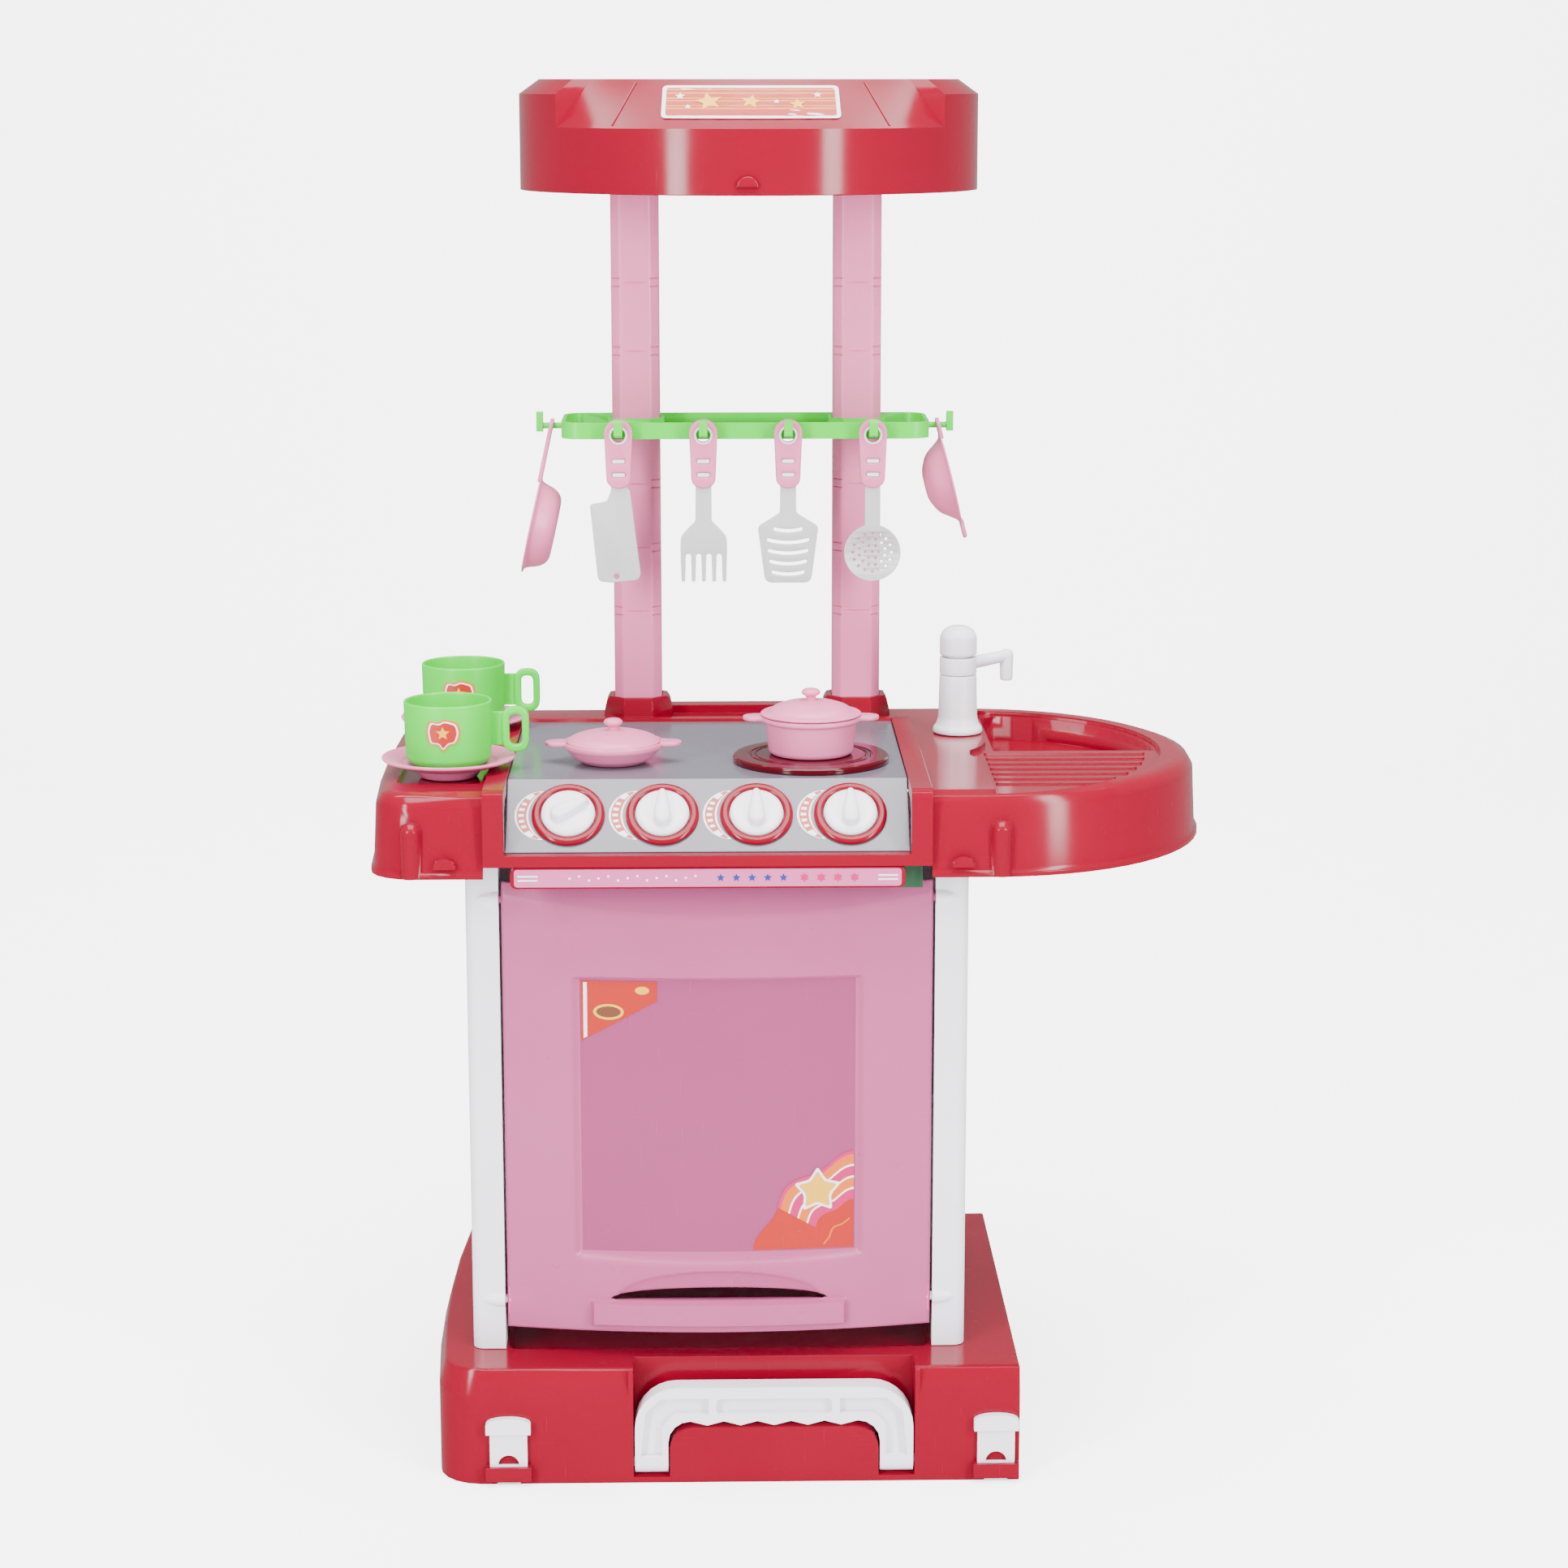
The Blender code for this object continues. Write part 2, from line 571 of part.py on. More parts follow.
# ================================================================= side panels and back
def make_side_panel(name, side, white):
    """One white side: round front edge, thin outer web, ribs, and two bullet-shaped bosses.

    side is -1 on the left and +1 on the right.
    """
    inner = OVEN_LEFT if side < 0 else OVEN_RIGHT
    outer = inner + side * PANEL_THICK
    low, high = PANEL_FRONT, PANEL_FRONT + PANEL_DEPTH
    web = outer - side * PANEL_WEB
    bottom, top = BASE_HEIGHT + GAP, WORKTOP_TOP - WORKTOP_PLATE - GAP
    corner = 0.006
    outline = [(inner, low)]
    outline += [(outer - side * corner + side * corner * math.sin(math.radians(turn)),
                 low + corner - corner * math.cos(math.radians(turn)))
                for turn in range(0, 91, 15)]
    outline += [(outer, high), (inner, high), (inner, high - PANEL_POST),
                (web, high - PANEL_POST), (web, low + PANEL_POST), (inner, low + PANEL_POST)]
    panel = prism(name, outline, bottom, top, "z", white)
    ribs = []
    shelf_rib = BASE_HEIGHT + SHELF_HEIGHT - GAP - PANEL_RIB / 2
    for index, share in enumerate((-0.82, -0.41, 0, 0.41, 0.82)):
        height = shelf_rib + share * SHELF_HEIGHT
        reach = PANEL_THICK - PANEL_WEB - 0.003 if share == 0 else 0.0035
        near, far = sorted((web + side * 0.001, web - side * reach))
        ribs.append(block(f"{name}_rib_{index}",
                          (near, low + PANEL_POST - 0.001, height - PANEL_RIB / 2),
                          (far, high - PANEL_POST + 0.001, height + PANEL_RIB / 2)))
    add(panel, many(name + "_ribs", ribs))
    sideways = Matrix.Rotation(math.radians(90 * side), 3, "Y")
    bullet = [(0, 0), (0.0042, 0), (0.0040, 0.004), (0.0032, 0.008), (0.0018, 0.0110), (0, 0.0122)]
    for index, height in enumerate((HINGE_Z, CATCH_Z)):
        boss = turned(f"{name}_boss_{index}", bullet, (inner, HINGE_Y, height), 16, sideways)
        add(panel, boss)
    hole = rod(f"{name}_hinge_hole", (inner - side * 0.002, HINGE_Y, HINGE_Z),
               (inner + side * 0.007, HINGE_Y, HINGE_Z), PIVOT_RADIUS + RUNNING_GAP, 16)
    cut(panel, hole)
    catch = rod(f"{name}_catch_pin", (inner + side * 0.003, HINGE_Y, CATCH_Z),
                (inner - side * 0.006, HINGE_Y, CATCH_Z), PIVOT_RADIUS, 16)
    add(panel, catch)


def make_back_sheets(white):
    """Two white sheets that close the back of the oven, with a seam between them."""
    y = PANEL_FRONT + PANEL_DEPTH - PANEL_POST / 2
    bottom, top = BASE_HEIGHT + GAP, WORKTOP_BOTTOM - GAP
    seam = bottom + (top - bottom) * 0.44
    left, right = OVEN_LEFT + GAP, OVEN_RIGHT - GAP
    for name, low, high in (("back_sheet_lower", bottom, seam - BACK_SEAM / 2),
                            ("back_sheet_upper", seam + BACK_SEAM / 2, top)):
        sheet = block(name, (left, y, low), (right, y + BACK_SHEET, high), white)
        soften(sheet, 0.0006, 1)


def make_oven_shelf(white):
    """A shelf half way up, whose ends lie on a rib inside each side panel."""
    reach, slack = 0.005, 2 * GAP
    low = BASE_HEIGHT + SHELF_HEIGHT
    front, back = PANEL_FRONT + PANEL_POST + slack, PANEL_FRONT + PANEL_DEPTH - PANEL_POST - slack
    shelf = block("oven_shelf", (OVEN_LEFT - reach, front, low),
                  (OVEN_RIGHT + reach, back, low + SHELF_THICK), white)
    soften(shelf, 0.0006, 1)


# ================================================================= oven door
def door_front(across):
    """Y of the door's front face at one place across its width."""
    half = OVEN_WIDTH / 2 - DOOR_SIDE_GAP
    middle = (OVEN_LEFT + OVEN_RIGHT) / 2
    share = (across - middle) / half
    return HINGE_Y - PIVOT_RADIUS - DOOR_BULGE * (1 - share * share)


def door_band(name, left, right, low, high, front_set, thickness, steps, material=None):
    """A curved plate that follows the door's face, set back from it by front_set."""
    places = [left + (right - left) * step / steps for step in range(steps + 1)]
    face = [(across, door_front(across) + front_set) for across in places]
    rear = [(across, door_front(across) + front_set + thickness) for across in reversed(places)]
    return prism(name, face + rear, low, high, "z", material)


def make_oven_door(door_plastic):
    """A bulging door with a sunken window, a grip, two pivots and two snap clips."""
    left, right = OVEN_LEFT + DOOR_SIDE_GAP, OVEN_RIGHT - DOOR_SIDE_GAP
    middle = (left + right) / 2
    top = HINGE_Z + DOOR_TOP_OVER_AXIS
    bottom = top - DOOR_HEIGHT
    door = door_band("oven_door", left, right, bottom, top, 0, DOOR_THICK, 16, door_plastic)
    window_top = top - WINDOW_TOP_DROP
    window_low = window_top - WINDOW_HEIGHT
    half = WINDOW_WIDTH / 2
    frame = door_band("door_window_frame", middle - half - 0.002, middle + half + 0.002,
                      window_low - 0.002, window_top + 0.002, 0.0008, WINDOW_SUNK + DOOR_THICK, 12)
    sunk = door_band("door_window_cut", middle - half, middle + half, window_low, window_top,
                     -0.02, WINDOW_SUNK + 0.02, 12)
    add(door, frame)
    cut(door, sunk)
    grip_low = bottom + 0.0030
    grip_top = grip_low + DOOR_GRIP_HEIGHT
    grip = door_band("door_grip", middle - DOOR_GRIP_WIDTH / 2, middle + DOOR_GRIP_WIDTH / 2,
                     grip_low, grip_top, -0.0040, 0.0052, 12)
    slot_arch = [(middle - DOOR_SLOT_WIDTH / 2, grip_top + 0.0002)]
    slot_arch += [(middle + DOOR_SLOT_WIDTH * (share - 0.5),
                   grip_top + 0.0010 + 0.0050 * math.sin(math.pi * share))
                  for share in (0, 0.125, 0.25, 0.375, 0.5, 0.625, 0.75, 0.875, 1)]
    slot_arch.append((middle + DOOR_SLOT_WIDTH / 2, grip_top + 0.0002))
    slot = prism("door_slot", slot_arch, FRONT - 0.02, HINGE_Y + 0.02, "y")
    add(door, grip)
    cut(door, slot)
    for index, side in enumerate((-1, 1)):
        edge = left if side < 0 else right
        pivot = rod(f"door_pivot_{index}", (edge - side * 0.006, HINGE_Y, HINGE_Z),
                    (edge + side * 0.0060, HINGE_Y, HINGE_Z), PIVOT_RADIUS, 16)
        clip_low = CATCH_Z - CLIP_SIZE / 2
        near, far = sorted((edge - side * 0.0003, edge - side * CLIP_SIZE))
        clip = block(f"door_clip_{index}", (near, HINGE_Y - 0.0030, clip_low),
                     (far, HINGE_Y + 0.0050, clip_low + CLIP_SIZE))
        groove_half = PIVOT_RADIUS + RUNNING_GAP
        near, far = sorted((edge + side * 0.01, edge - side * 0.0065))
        groove = prism(f"door_clip_groove_{index}",
                       [(HINGE_Y + 0.02, CATCH_Z - groove_half),
                        (HINGE_Y + 0.02, CATCH_Z + groove_half)]
                       + arc(HINGE_Y, CATCH_Z, groove_half, 90, 270, 8), near, far, "x")
        add(door, pivot, clip)
        cut(door, groove)
    pivot_at(door, (middle, HINGE_Y, HINGE_Z))


# ================================================================= worktop
def worktop_outline(inset):
    """Plan of the worktop: a swelling left side, straight long sides and a round right end."""
    left = WORKTOP_LEFT + WORKTOP_BULGE + inset
    low, high = FRONT + inset, BACK - inset
    radius = WORKTOP_CORNER - inset
    reach, half = WORKTOP_RIGHT - SINK_START - inset, BACK - inset
    outline = [(SINK_START + reach * math.cos(math.radians(turn)),
                half * math.sin(math.radians(turn))) for turn in range(-90, 91, 6)]
    outline += arc(left + radius, high - radius, radius, 90, 180, 5)
    for step in (0.5, 0.0, -0.5):
        outline.append((left - WORKTOP_BULGE * (1 - step * step), (high - radius) * step))
    outline += arc(left + radius, low + radius, radius, 180, 270, 5)
    return outline


def worktop_ring(inset, height):
    return [(across, along, height) for across, along in worktop_outline(inset)]


def slope_line(offset):
    """The cooktop's side view from back to front, set back from its face by offset."""
    turn = math.tan(SLOPE_ANGLE / 2)
    reach = SLOPE_BACK - SLOPE_FRONT
    drop_in = offset * math.sin(SLOPE_ANGLE)
    drop_down = offset * math.cos(SLOPE_ANGLE)
    return [(COOKTOP_BACK, COOKTOP_TOP - offset), (SLOPE_BACK + offset * turn, COOKTOP_TOP - offset),
            (SLOPE_BACK - reach + drop_in, COOKTOP_TOP - SLOPE_DROP - drop_down)]


def make_worktop(red):
    top, bottom = WORKTOP_TOP, WORKTOP_BOTTOM
    under = top - WORKTOP_PLATE
    worktop = loft("worktop_shell", [
        worktop_ring(SHOULDER, top), worktop_ring(0.0060, top - 0.0020),
        worktop_ring(0.0030, top - 0.0070), worktop_ring(0.0015, bottom + 0.004),
        worktop_ring(0, bottom + 0.002), worktop_ring(0, bottom),
        worktop_ring(0.0025, bottom), worktop_ring(0.0040, bottom + 0.004),
        worktop_ring(0.0055, top - 0.0090), worktop_ring(SHOULDER + 0.001, under)], red)
    add_cooktop_frame(worktop)
    add_sink(worktop)
    add_left_tray(worktop)
    add_post_sockets(worktop)
    add_front_details(worktop)
    foot_hole = rod("faucet_foot_hole", (FAUCET_X, FAUCET_Y, under - 0.01),
                    (FAUCET_X, FAUCET_Y, top + 0.01), 0.005 + GAP, 20)
    cut(worktop, foot_hole)


def add_cooktop_frame(worktop):
    """A raised frame around the cooktop, the opening for it and the ledge it lies on."""
    outer_left, outer_right = COOKTOP_LEFT - RIDGE_WIDTH, COOKTOP_RIGHT + RIDGE_WIDTH
    crest, nose = WORKTOP_TOP + RIDGE_RISE, FRONT - 0.0015
    back = COOKTOP_BACK + 0.009
    under = WORKTOP_TOP - WORKTOP_PLATE
    side = [(nose, BAND_BOTTOM), (nose, crest - 0.005), (nose + 0.0015, crest - 0.0015),
            (nose + 0.005, crest), (back - 0.002, crest), (back, crest - 0.0012), (back, under),
            (FRONT + WALL, under), (FRONT + WALL, BAND_BOTTOM)]
    frame = prism("cooktop_frame", side, outer_left, outer_right, "x")
    flat, knee, toe = slope_line(COOKTOP_THICK + GAP)
    band_top = COOKTOP_TOP - SLOPE_DROP - GAP
    upper = [(flat[0] + GAP, flat[1]), knee, toe, (SLOPE_FRONT - GAP, band_top),
             (nose - 0.02, band_top), (nose - 0.02, crest + 0.05), (flat[0] + GAP, crest + 0.05)]
    opening = prism("cooktop_opening", upper, COOKTOP_LEFT - GAP, COOKTOP_RIGHT + GAP, "x")
    well = block("cooktop_well", (COOKTOP_LEFT + LEDGE, SLOPE_FRONT, WORKTOP_BOTTOM - 0.02),
                 (COOKTOP_RIGHT - LEDGE, COOKTOP_BACK - LEDGE, crest + 0.05))
    notch = block("bar_notch", (outer_left, FRONT - 0.02, WORKTOP_BOTTOM - 0.01),
                  (outer_right, FRONT + 0.012, BAND_BOTTOM))
    add(worktop, frame)
    cut(worktop, opening, well, notch)


def basin_outline(grow):
    """Plan of the basin: it follows the round end at an even distance."""
    inset = BASIN_INSET - grow
    reach, half = WORKTOP_RIGHT - SINK_START - inset, BACK - inset
    first = math.degrees(math.asin((BASIN_FRONT - grow) / half))
    last = 90 - math.degrees(math.asin((BASIN_LEFT - SINK_START + 0.008 - grow) / reach))
    outline = [(BASIN_LEFT - grow, BASIN_FRONT - grow)]
    for step in range(13):
        turn = math.radians(first + (last - first) * step / 12)
        outline.append((SINK_START + reach * math.cos(turn), half * math.sin(turn)))
    outline.append((BASIN_LEFT - grow, outline[-1][1] - 0.008))
    return outline


def drainer_outline():
    """Plan of the sunken part: round at the right, with a chute beside the faucet."""
    reach = WORKTOP_RIGHT - SINK_START - DRAINER_INSET
    front, back = -FRONT - DRAINER_FRONT, BACK - DRAINER_INSET
    left = BASIN_LEFT - 0.003
    last = math.degrees(math.acos((left - SINK_START) / reach))
    outline = []
    for step in range(16):
        turn = math.radians(-90 + 6 * step)
        outline.append((SINK_START + reach * math.cos(turn), front * math.sin(turn)))
    for step in range(16):
        turn = math.radians(last * step / 15)
        outline.append((SINK_START + reach * math.cos(turn), back * math.sin(turn)))
    outline.pop(15)
    outline += [(left, 0.012), (SINK_START + 0.001, 0.0), (SINK_START - 0.005, -0.010),
                (SINK_START - 0.006, -0.022), (SINK_START - 0.001, -0.034)]
    return outline


def add_sink(worktop):
    """A basin with a drain ring behind a sunken, ribbed draining board."""
    floor = WORKTOP_TOP - BASIN_DEPTH
    board = WORKTOP_TOP - DRAINER_SUNK
    tub = prism("basin_tub", basin_outline(WALL), floor - WALL, WORKTOP_TOP - WORKTOP_PLATE / 2)
    hollow = prism("basin_hollow", basin_outline(0), floor, WORKTOP_TOP + 0.02)
    sunk = prism("drainer_hollow", drainer_outline(), board, WORKTOP_TOP + 0.03)
    reach = WORKTOP_RIGHT - SINK_START - DRAINER_INSET
    ribs = []
    for index in range(RIB_COUNT):
        y = BASIN_FRONT - 0.009 - index * RIB_PITCH
        right = SINK_START - 0.008 + reach * math.sqrt(1 - (y / (FRONT + DRAINER_FRONT)) ** 2)
        outline = rounded(SINK_START + 0.002, right, y - 0.0016, y + 0.0016, 0.0015, 2)
        ribs.append(prism(f"rib_{index}", outline, board - 0.001, board + RIB_HEIGHT))
    drain = turned("drain_ring", [(0, -0.001), (DRAIN_RADIUS, -0.001), (DRAIN_RADIUS, 0.0004),
                                  (DRAIN_RADIUS - 0.0008, 0.0010), (DRAIN_RADIUS - 0.0022, 0.0010),
                                  (DRAIN_RADIUS - 0.0030, 0.0003), (0, 0.0003)],
                   (SINK_START + 0.035, BASIN_FRONT + 0.022, floor), 24)
    add(worktop, tub)
    cut(worktop, hollow, sunk)
    add(worktop, many("draining_ribs", ribs + [drain]))


def add_left_tray(worktop):
    """A shallow sunken place for the crockery."""
    left, right = WORKTOP_LEFT + SHOULDER + 0.0035, COOKTOP_LEFT - RIDGE_WIDTH - 0.002
    sunk = prism("crockery_tray", rounded(left, right, FRONT + 0.030, BACK - 0.028, 0.005, 3),
                 WORKTOP_TOP - TRAY_SUNK, WORKTOP_TOP + 0.02)
    cut(worktop, sunk)


def post_section(centre, grow):
    """Plan of a post: a rectangle with its corners cut off."""
    return rounded(centre - POST_WIDTH / 2 - grow, centre + POST_WIDTH / 2 + grow,
                   POST_Y - POST_DEPTH / 2 - grow, POST_Y + POST_DEPTH / 2 + grow,
                   POST_CHAMFER + grow, 1)


def add_post_sockets(worktop):
    """Raised sockets that the posts plug into, and the low step between them."""
    top = WORKTOP_TOP
    rise = block("rear_step", (POST_CENTRES[0], POST_Y + 0.006, top - 0.002),
                 (POST_CENTRES[1], BACK - SHOULDER, top + 0.0045))
    add(worktop, rise)
    for index, centre in enumerate(POST_CENTRES):
        levels = ((SOCKET_WALL + 0.0028, top - 0.002), (SOCKET_WALL + 0.0025, top + 0.004),
                  (SOCKET_WALL + 0.0012, top + SOCKET_RISE - 0.0025),
                  (SOCKET_WALL - 0.0002, top + SOCKET_RISE))
        boss = loft(f"socket_{index}", [[(across, along, height) for across, along
                                         in post_section(centre, grow)] for grow, height in levels])
        pocket = prism(f"socket_pocket_{index}", post_section(centre, GAP), top + SOCKET_FLOOR,
                       top + SOCKET_RISE + 0.02)
        add(worktop, boss)
        cut(worktop, pocket)


def add_front_details(worktop):
    """Two pillars and two half-round catches on the front of the case half."""
    low, high = WORKTOP_BOTTOM + 0.0005, WORKTOP_BOTTOM + 0.0275
    for index, centre in enumerate((-0.1835, 0.0985)):
        y = FRONT + 0.0022
        pillar = turned(f"pillar_{index}", [(0, 0), (PILLAR_RADIUS, 0),
                                            (PILLAR_RADIUS, high - low - 0.004),
                                            (PILLAR_RADIUS * 0.75, high - low - 0.0012),
                                            (0, high - low)], (centre, y, low), 14)
        add(worktop, pillar)
    for index, centre in enumerate((-0.1675, 0.0800)):
        catch = prism(f"catch_{index}", arc(centre, WORKTOP_BOTTOM + 0.0050, 0.0055, 0, 180, 10),
                      FRONT - 0.0015, FRONT + 0.003, "y")
        add(worktop, catch)


def make_front_bar(red):
    """The strip under the cooktop that carries the decorated label."""
    left, right = COOKTOP_LEFT + 0.0023, COOKTOP_RIGHT - 0.0023
    low, high = BAND_BOTTOM - 0.0105, BAND_BOTTOM - GAP
    outline = rounded(left, right, low, high, 0.003, 3)
    prism("front_bar", outline, FRONT - 0.0008, FRONT + 0.0085, "y", red)


# ================================================================= cooktop, knobs and burner
def slope_point(share, lift):
    """A point on the sloping face: share from top (0) to bottom (1), lifted off it."""
    y = SLOPE_BACK + (SLOPE_FRONT - SLOPE_BACK) * share - lift * math.sin(SLOPE_ANGLE)
    z = COOKTOP_TOP - SLOPE_DROP * share + lift * math.cos(SLOPE_ANGLE)
    return y, z


def knob_places():
    first = KNOB_MIDDLE - KNOB_SPACING * (KNOB_COUNT - 1) / 2
    return [first + KNOB_SPACING * index for index in range(KNOB_COUNT)]


def slope_frame(turn=0.0):
    """Axes with Z off the sloping face, and Y up along it, turned clockwise by turn degrees."""
    lean = Matrix.Rotation(SLOPE_ANGLE, 3, "X")
    return lean @ Matrix.Rotation(-math.radians(turn), 3, "Z")


def make_cooktop(grey):
    profile = slope_line(0) + slope_line(COOKTOP_THICK)[::-1]
    cooktop = prism("cooktop_panel", profile, COOKTOP_LEFT, COOKTOP_RIGHT, "x", grey)
    y, z = slope_point(0.5, 0)
    holes = [turned(f"stem_hole_{index}", [(0, -0.01), (KNOB_STEM + RUNNING_GAP, -0.01),
                                           (KNOB_STEM + RUNNING_GAP, 0.01), (0, 0.01)],
                    (across, y, z), 16, slope_frame())
             for index, across in enumerate(knob_places())]
    holes.append(rod("burner_hole", (BURNER_X, BURNER_Y, COOKTOP_TOP - 0.01),
                     (BURNER_X, BURNER_Y, COOKTOP_TOP + 0.01), BURNER_PLUG + GAP, 32))
    cut(cooktop, many("cooktop_holes", holes))


def make_knobs(red, white):
    """Four red bezels fixed on the slope, and four white knobs that turn in them."""
    inner = KNOB_RADIUS + RUNNING_GAP
    bezel = [(inner, 0), (BEZEL_RADIUS, 0), (BEZEL_RADIUS - 0.0006, BEZEL_HEIGHT * 0.7),
             (BEZEL_RADIUS - 0.0018, BEZEL_HEIGHT), (inner + 0.0006, BEZEL_HEIGHT),
             (inner, BEZEL_HEIGHT * 0.7)]
    stem = 0.010
    body = [(0, -stem), (KNOB_STEM, -stem), (KNOB_STEM, 0.0002), (KNOB_RADIUS, 0.0002),
            (KNOB_RADIUS, KNOB_HEIGHT - 0.0014), (KNOB_RADIUS - 0.0012, KNOB_HEIGHT),
            (0, KNOB_HEIGHT + 0.0008)]
    base_y, base_z = slope_point(0.5, GAP)
    for index, across in enumerate(knob_places()):
        centre = (across, base_y, base_z)
        turned(f"knob_bezel_{index + 1}", bezel, centre, 32, slope_frame(), red, closed=True)
        turn = FIRST_KNOB_TURN if index == 0 else 0
        knob = turned(f"knob_{index + 1}", body, centre, 28, slope_frame(turn), white)
        ridge_rings = []
        for height, shrink in ((KNOB_HEIGHT - 0.001, 0), (KNOB_HEIGHT + 0.0035, 0.0004),
                               (KNOB_HEIGHT + KNOB_RIDGE_HEIGHT, 0.0016)):
            ring = [Vector((x, y, height)) for x, y in knob_ridge(shrink)]
            ridge_rings.append([Vector(centre) + slope_frame(turn) @ point for point in ring])
        add(knob, loft(f"knob_ridge_{index + 1}", ridge_rings))
        pivot_at(knob, centre)


def knob_ridge(shrink):
    """Plan of the finger ridge: a teardrop that is wide below and pointed above."""
    low, high, wide, narrow = -0.0095 + shrink, 0.0112 - shrink, 0.0046 - shrink, 0.0021 - shrink / 2
    outline = arc(0, low + wide, wide, 180, 360, 6)
    outline += [(wide * 0.92, 0.001)] + arc(0, high - narrow, narrow, 20, 160, 4)
    outline.append((-wide * 0.92, 0.001))
    return outline


def make_burner(lens, white, board, black, steel):
    """The red lens, and the lamp, sound board, speaker and battery box behind it."""
    foot, crown = COOKTOP_TOP + GAP, COOKTOP_TOP + GAP + BURNER_HEIGHT
    under = COOKTOP_TOP - COOKTOP_THICK
    profile = [(0, under), (BURNER_PLUG, under), (BURNER_PLUG, foot), (BURNER_RADIUS, foot),
               (BURNER_RADIUS, crown - 0.0006), (BURNER_RADIUS - 0.0006, crown),
               (BURNER_RING + 0.0009, crown), (BURNER_RING + 0.0003, crown - 0.0008),
               (BURNER_RING - 0.0003, crown - 0.0008), (BURNER_RING - 0.0009, crown), (0, crown)]
    turned("burner_lens", [(radius, height - under) for radius, height in profile],
           (BURNER_X, BURNER_Y, under), 40, None, lens)
    board_top = under - 0.0130
    block("lamp_board", (BURNER_X - 0.016, BURNER_Y - 0.012, board_top - 0.0016),
          (BURNER_X + 0.016, BURNER_Y + 0.012, board_top), board)
    lamp = [(0, 0), (LAMP_RADIUS, 0), (LAMP_RADIUS, 0.0050), (LAMP_RADIUS * 0.7, 0.0085), (0, 0.0100)]
    turned("burner_lamp", lamp, (BURNER_X, BURNER_Y, board_top + GAP), 16, None, white)
    speaker = [(0, 0), (0.0140, 0), (0.0140, 0.0025), (0.0085, 0.0045), (0.0085, 0.0075), (0, 0.0075)]
    turned("speaker", speaker, (BURNER_X, BURNER_Y + 0.060, under - GAP - 0.0075), 24, None, black)
    right = COOKTOP_RIGHT + 0.0065
    block("sound_board", (right - 0.075, FRONT + 0.0092, BAND_BOTTOM - 0.0130),
          (right, FRONT + 0.0108, BAND_BOTTOM - 0.0010), board)
    box_left, box_right, box_low = -0.105, -0.045, under - 0.0220
    battery = block("battery_box", (box_left, -0.030, box_low), (box_right, 0.030, under - GAP), black)
    hollow = block("battery_hollow", (box_left + 0.0018, -0.0282, box_low - 0.01),
                   (box_right - 0.0018, 0.0282, under - 0.003))
    cut(battery, hollow)
    cover = block("battery_cover", (box_left, -0.030, box_low - GAP - 0.0020),
                  (box_right, 0.030, box_low - GAP), black)
    middle = (box_left + box_right) / 2
    cut(cover, rod("cover_screw_hole", (middle, 0.026, box_low - 0.01), (middle, 0.026, box_low + 0.01),
                   0.0016, 12))
    screw_head = box_low - GAP - 0.0020 - GAP
    screw = [(0, -0.0010), (0.0024, -0.0010), (0.0024, 0), (0.0012, 0), (0.0012, 0.0050), (0, 0.0060)]
    turned("battery_screw", screw, (middle, 0.026, screw_head), 12, None, steel)


# ================================================================= faucet
def make_faucet(white):
    """A column with a turning spout held on its neck by a domed cap."""
    foot = WORKTOP_TOP + GAP
    centre = (FAUCET_X, FAUCET_Y, foot)
    collar_low, collar_high = FAUCET_COLUMN, FAUCET_COLUMN + FAUCET_COLLAR
    peg = 0.0040
    column = [(0, -0.0042), (0.005, -0.0042), (0.005, 0), (0.0128, 0), (0.0128, 0.0030),
              (0.0104, 0.0058), (FAUCET_RADIUS + 0.0003, 0.0070), (FAUCET_RADIUS, collar_low),
              (FAUCET_NECK, collar_low), (FAUCET_NECK, collar_high + 2 * GAP),
              (peg, collar_high + 2 * GAP), (peg, collar_high + 0.0060), (0, collar_high + 0.0060)]
    turned("faucet_column", column, centre, 24, None, white)
    cap_low, bore = collar_high + 3 * GAP, peg + 0.0001
    dome = [(FAUCET_RADIUS * math.cos(math.radians(turn)),
             cap_low + FAUCET_CAP - 0.0070 + 0.0070 * math.sin(math.radians(turn)))
            for turn in (0, 20, 40, 60, 78)]
    cap = [(0, collar_high + 0.0075), (bore, collar_high + 0.0075), (bore, cap_low),
           (FAUCET_RADIUS, cap_low)] + dome + [(0, cap_low + FAUCET_CAP)]
    turned("faucet_cap", cap, centre, 24, None, white)
    inner = FAUCET_NECK + RUNNING_GAP
    low, high = collar_low + GAP, collar_high
    ring = [(inner, low), (FAUCET_RADIUS, low), (FAUCET_RADIUS, high), (inner, high)]
    spout = turned("faucet_spout", ring, centre, 24, None, white, closed=True)
    heading, rise = math.radians(SPOUT_TURN), math.radians(SPOUT_RISE)
    ahead = Vector((math.cos(heading) * math.cos(rise), math.sin(heading) * math.cos(rise),
                    math.sin(rise)))
    start = Vector((FAUCET_X, FAUCET_Y, foot + (low + high) / 2)) + ahead * (inner + 0.001)
    end = Vector((FAUCET_X, FAUCET_Y, foot + (low + high) / 2)) + ahead * SPOUT_REACH
    arm = rod("spout_arm", start, end, SPOUT_RADIUS, 14)
    nose = turned("spout_nose", [(0, -0.0130), (SPOUT_RADIUS * 1.05, -0.0130),
                                 (SPOUT_RADIUS * 1.15, 0.0012), (SPOUT_RADIUS * 0.7, 0.0030),
                                 (0, 0.0034)], end, 14)
    add(spout, arm, nose)
    pivot_at(spout, centre)


# ================================================================= posts, canopy and rack
def make_post(name, centre, pink):
    bottom, top = WORKTOP_TOP + SOCKET_FLOOR + GAP, CANOPY_BOTTOM + 0.0350
    prism(name, post_section(centre, 0), bottom, top, "z", pink)


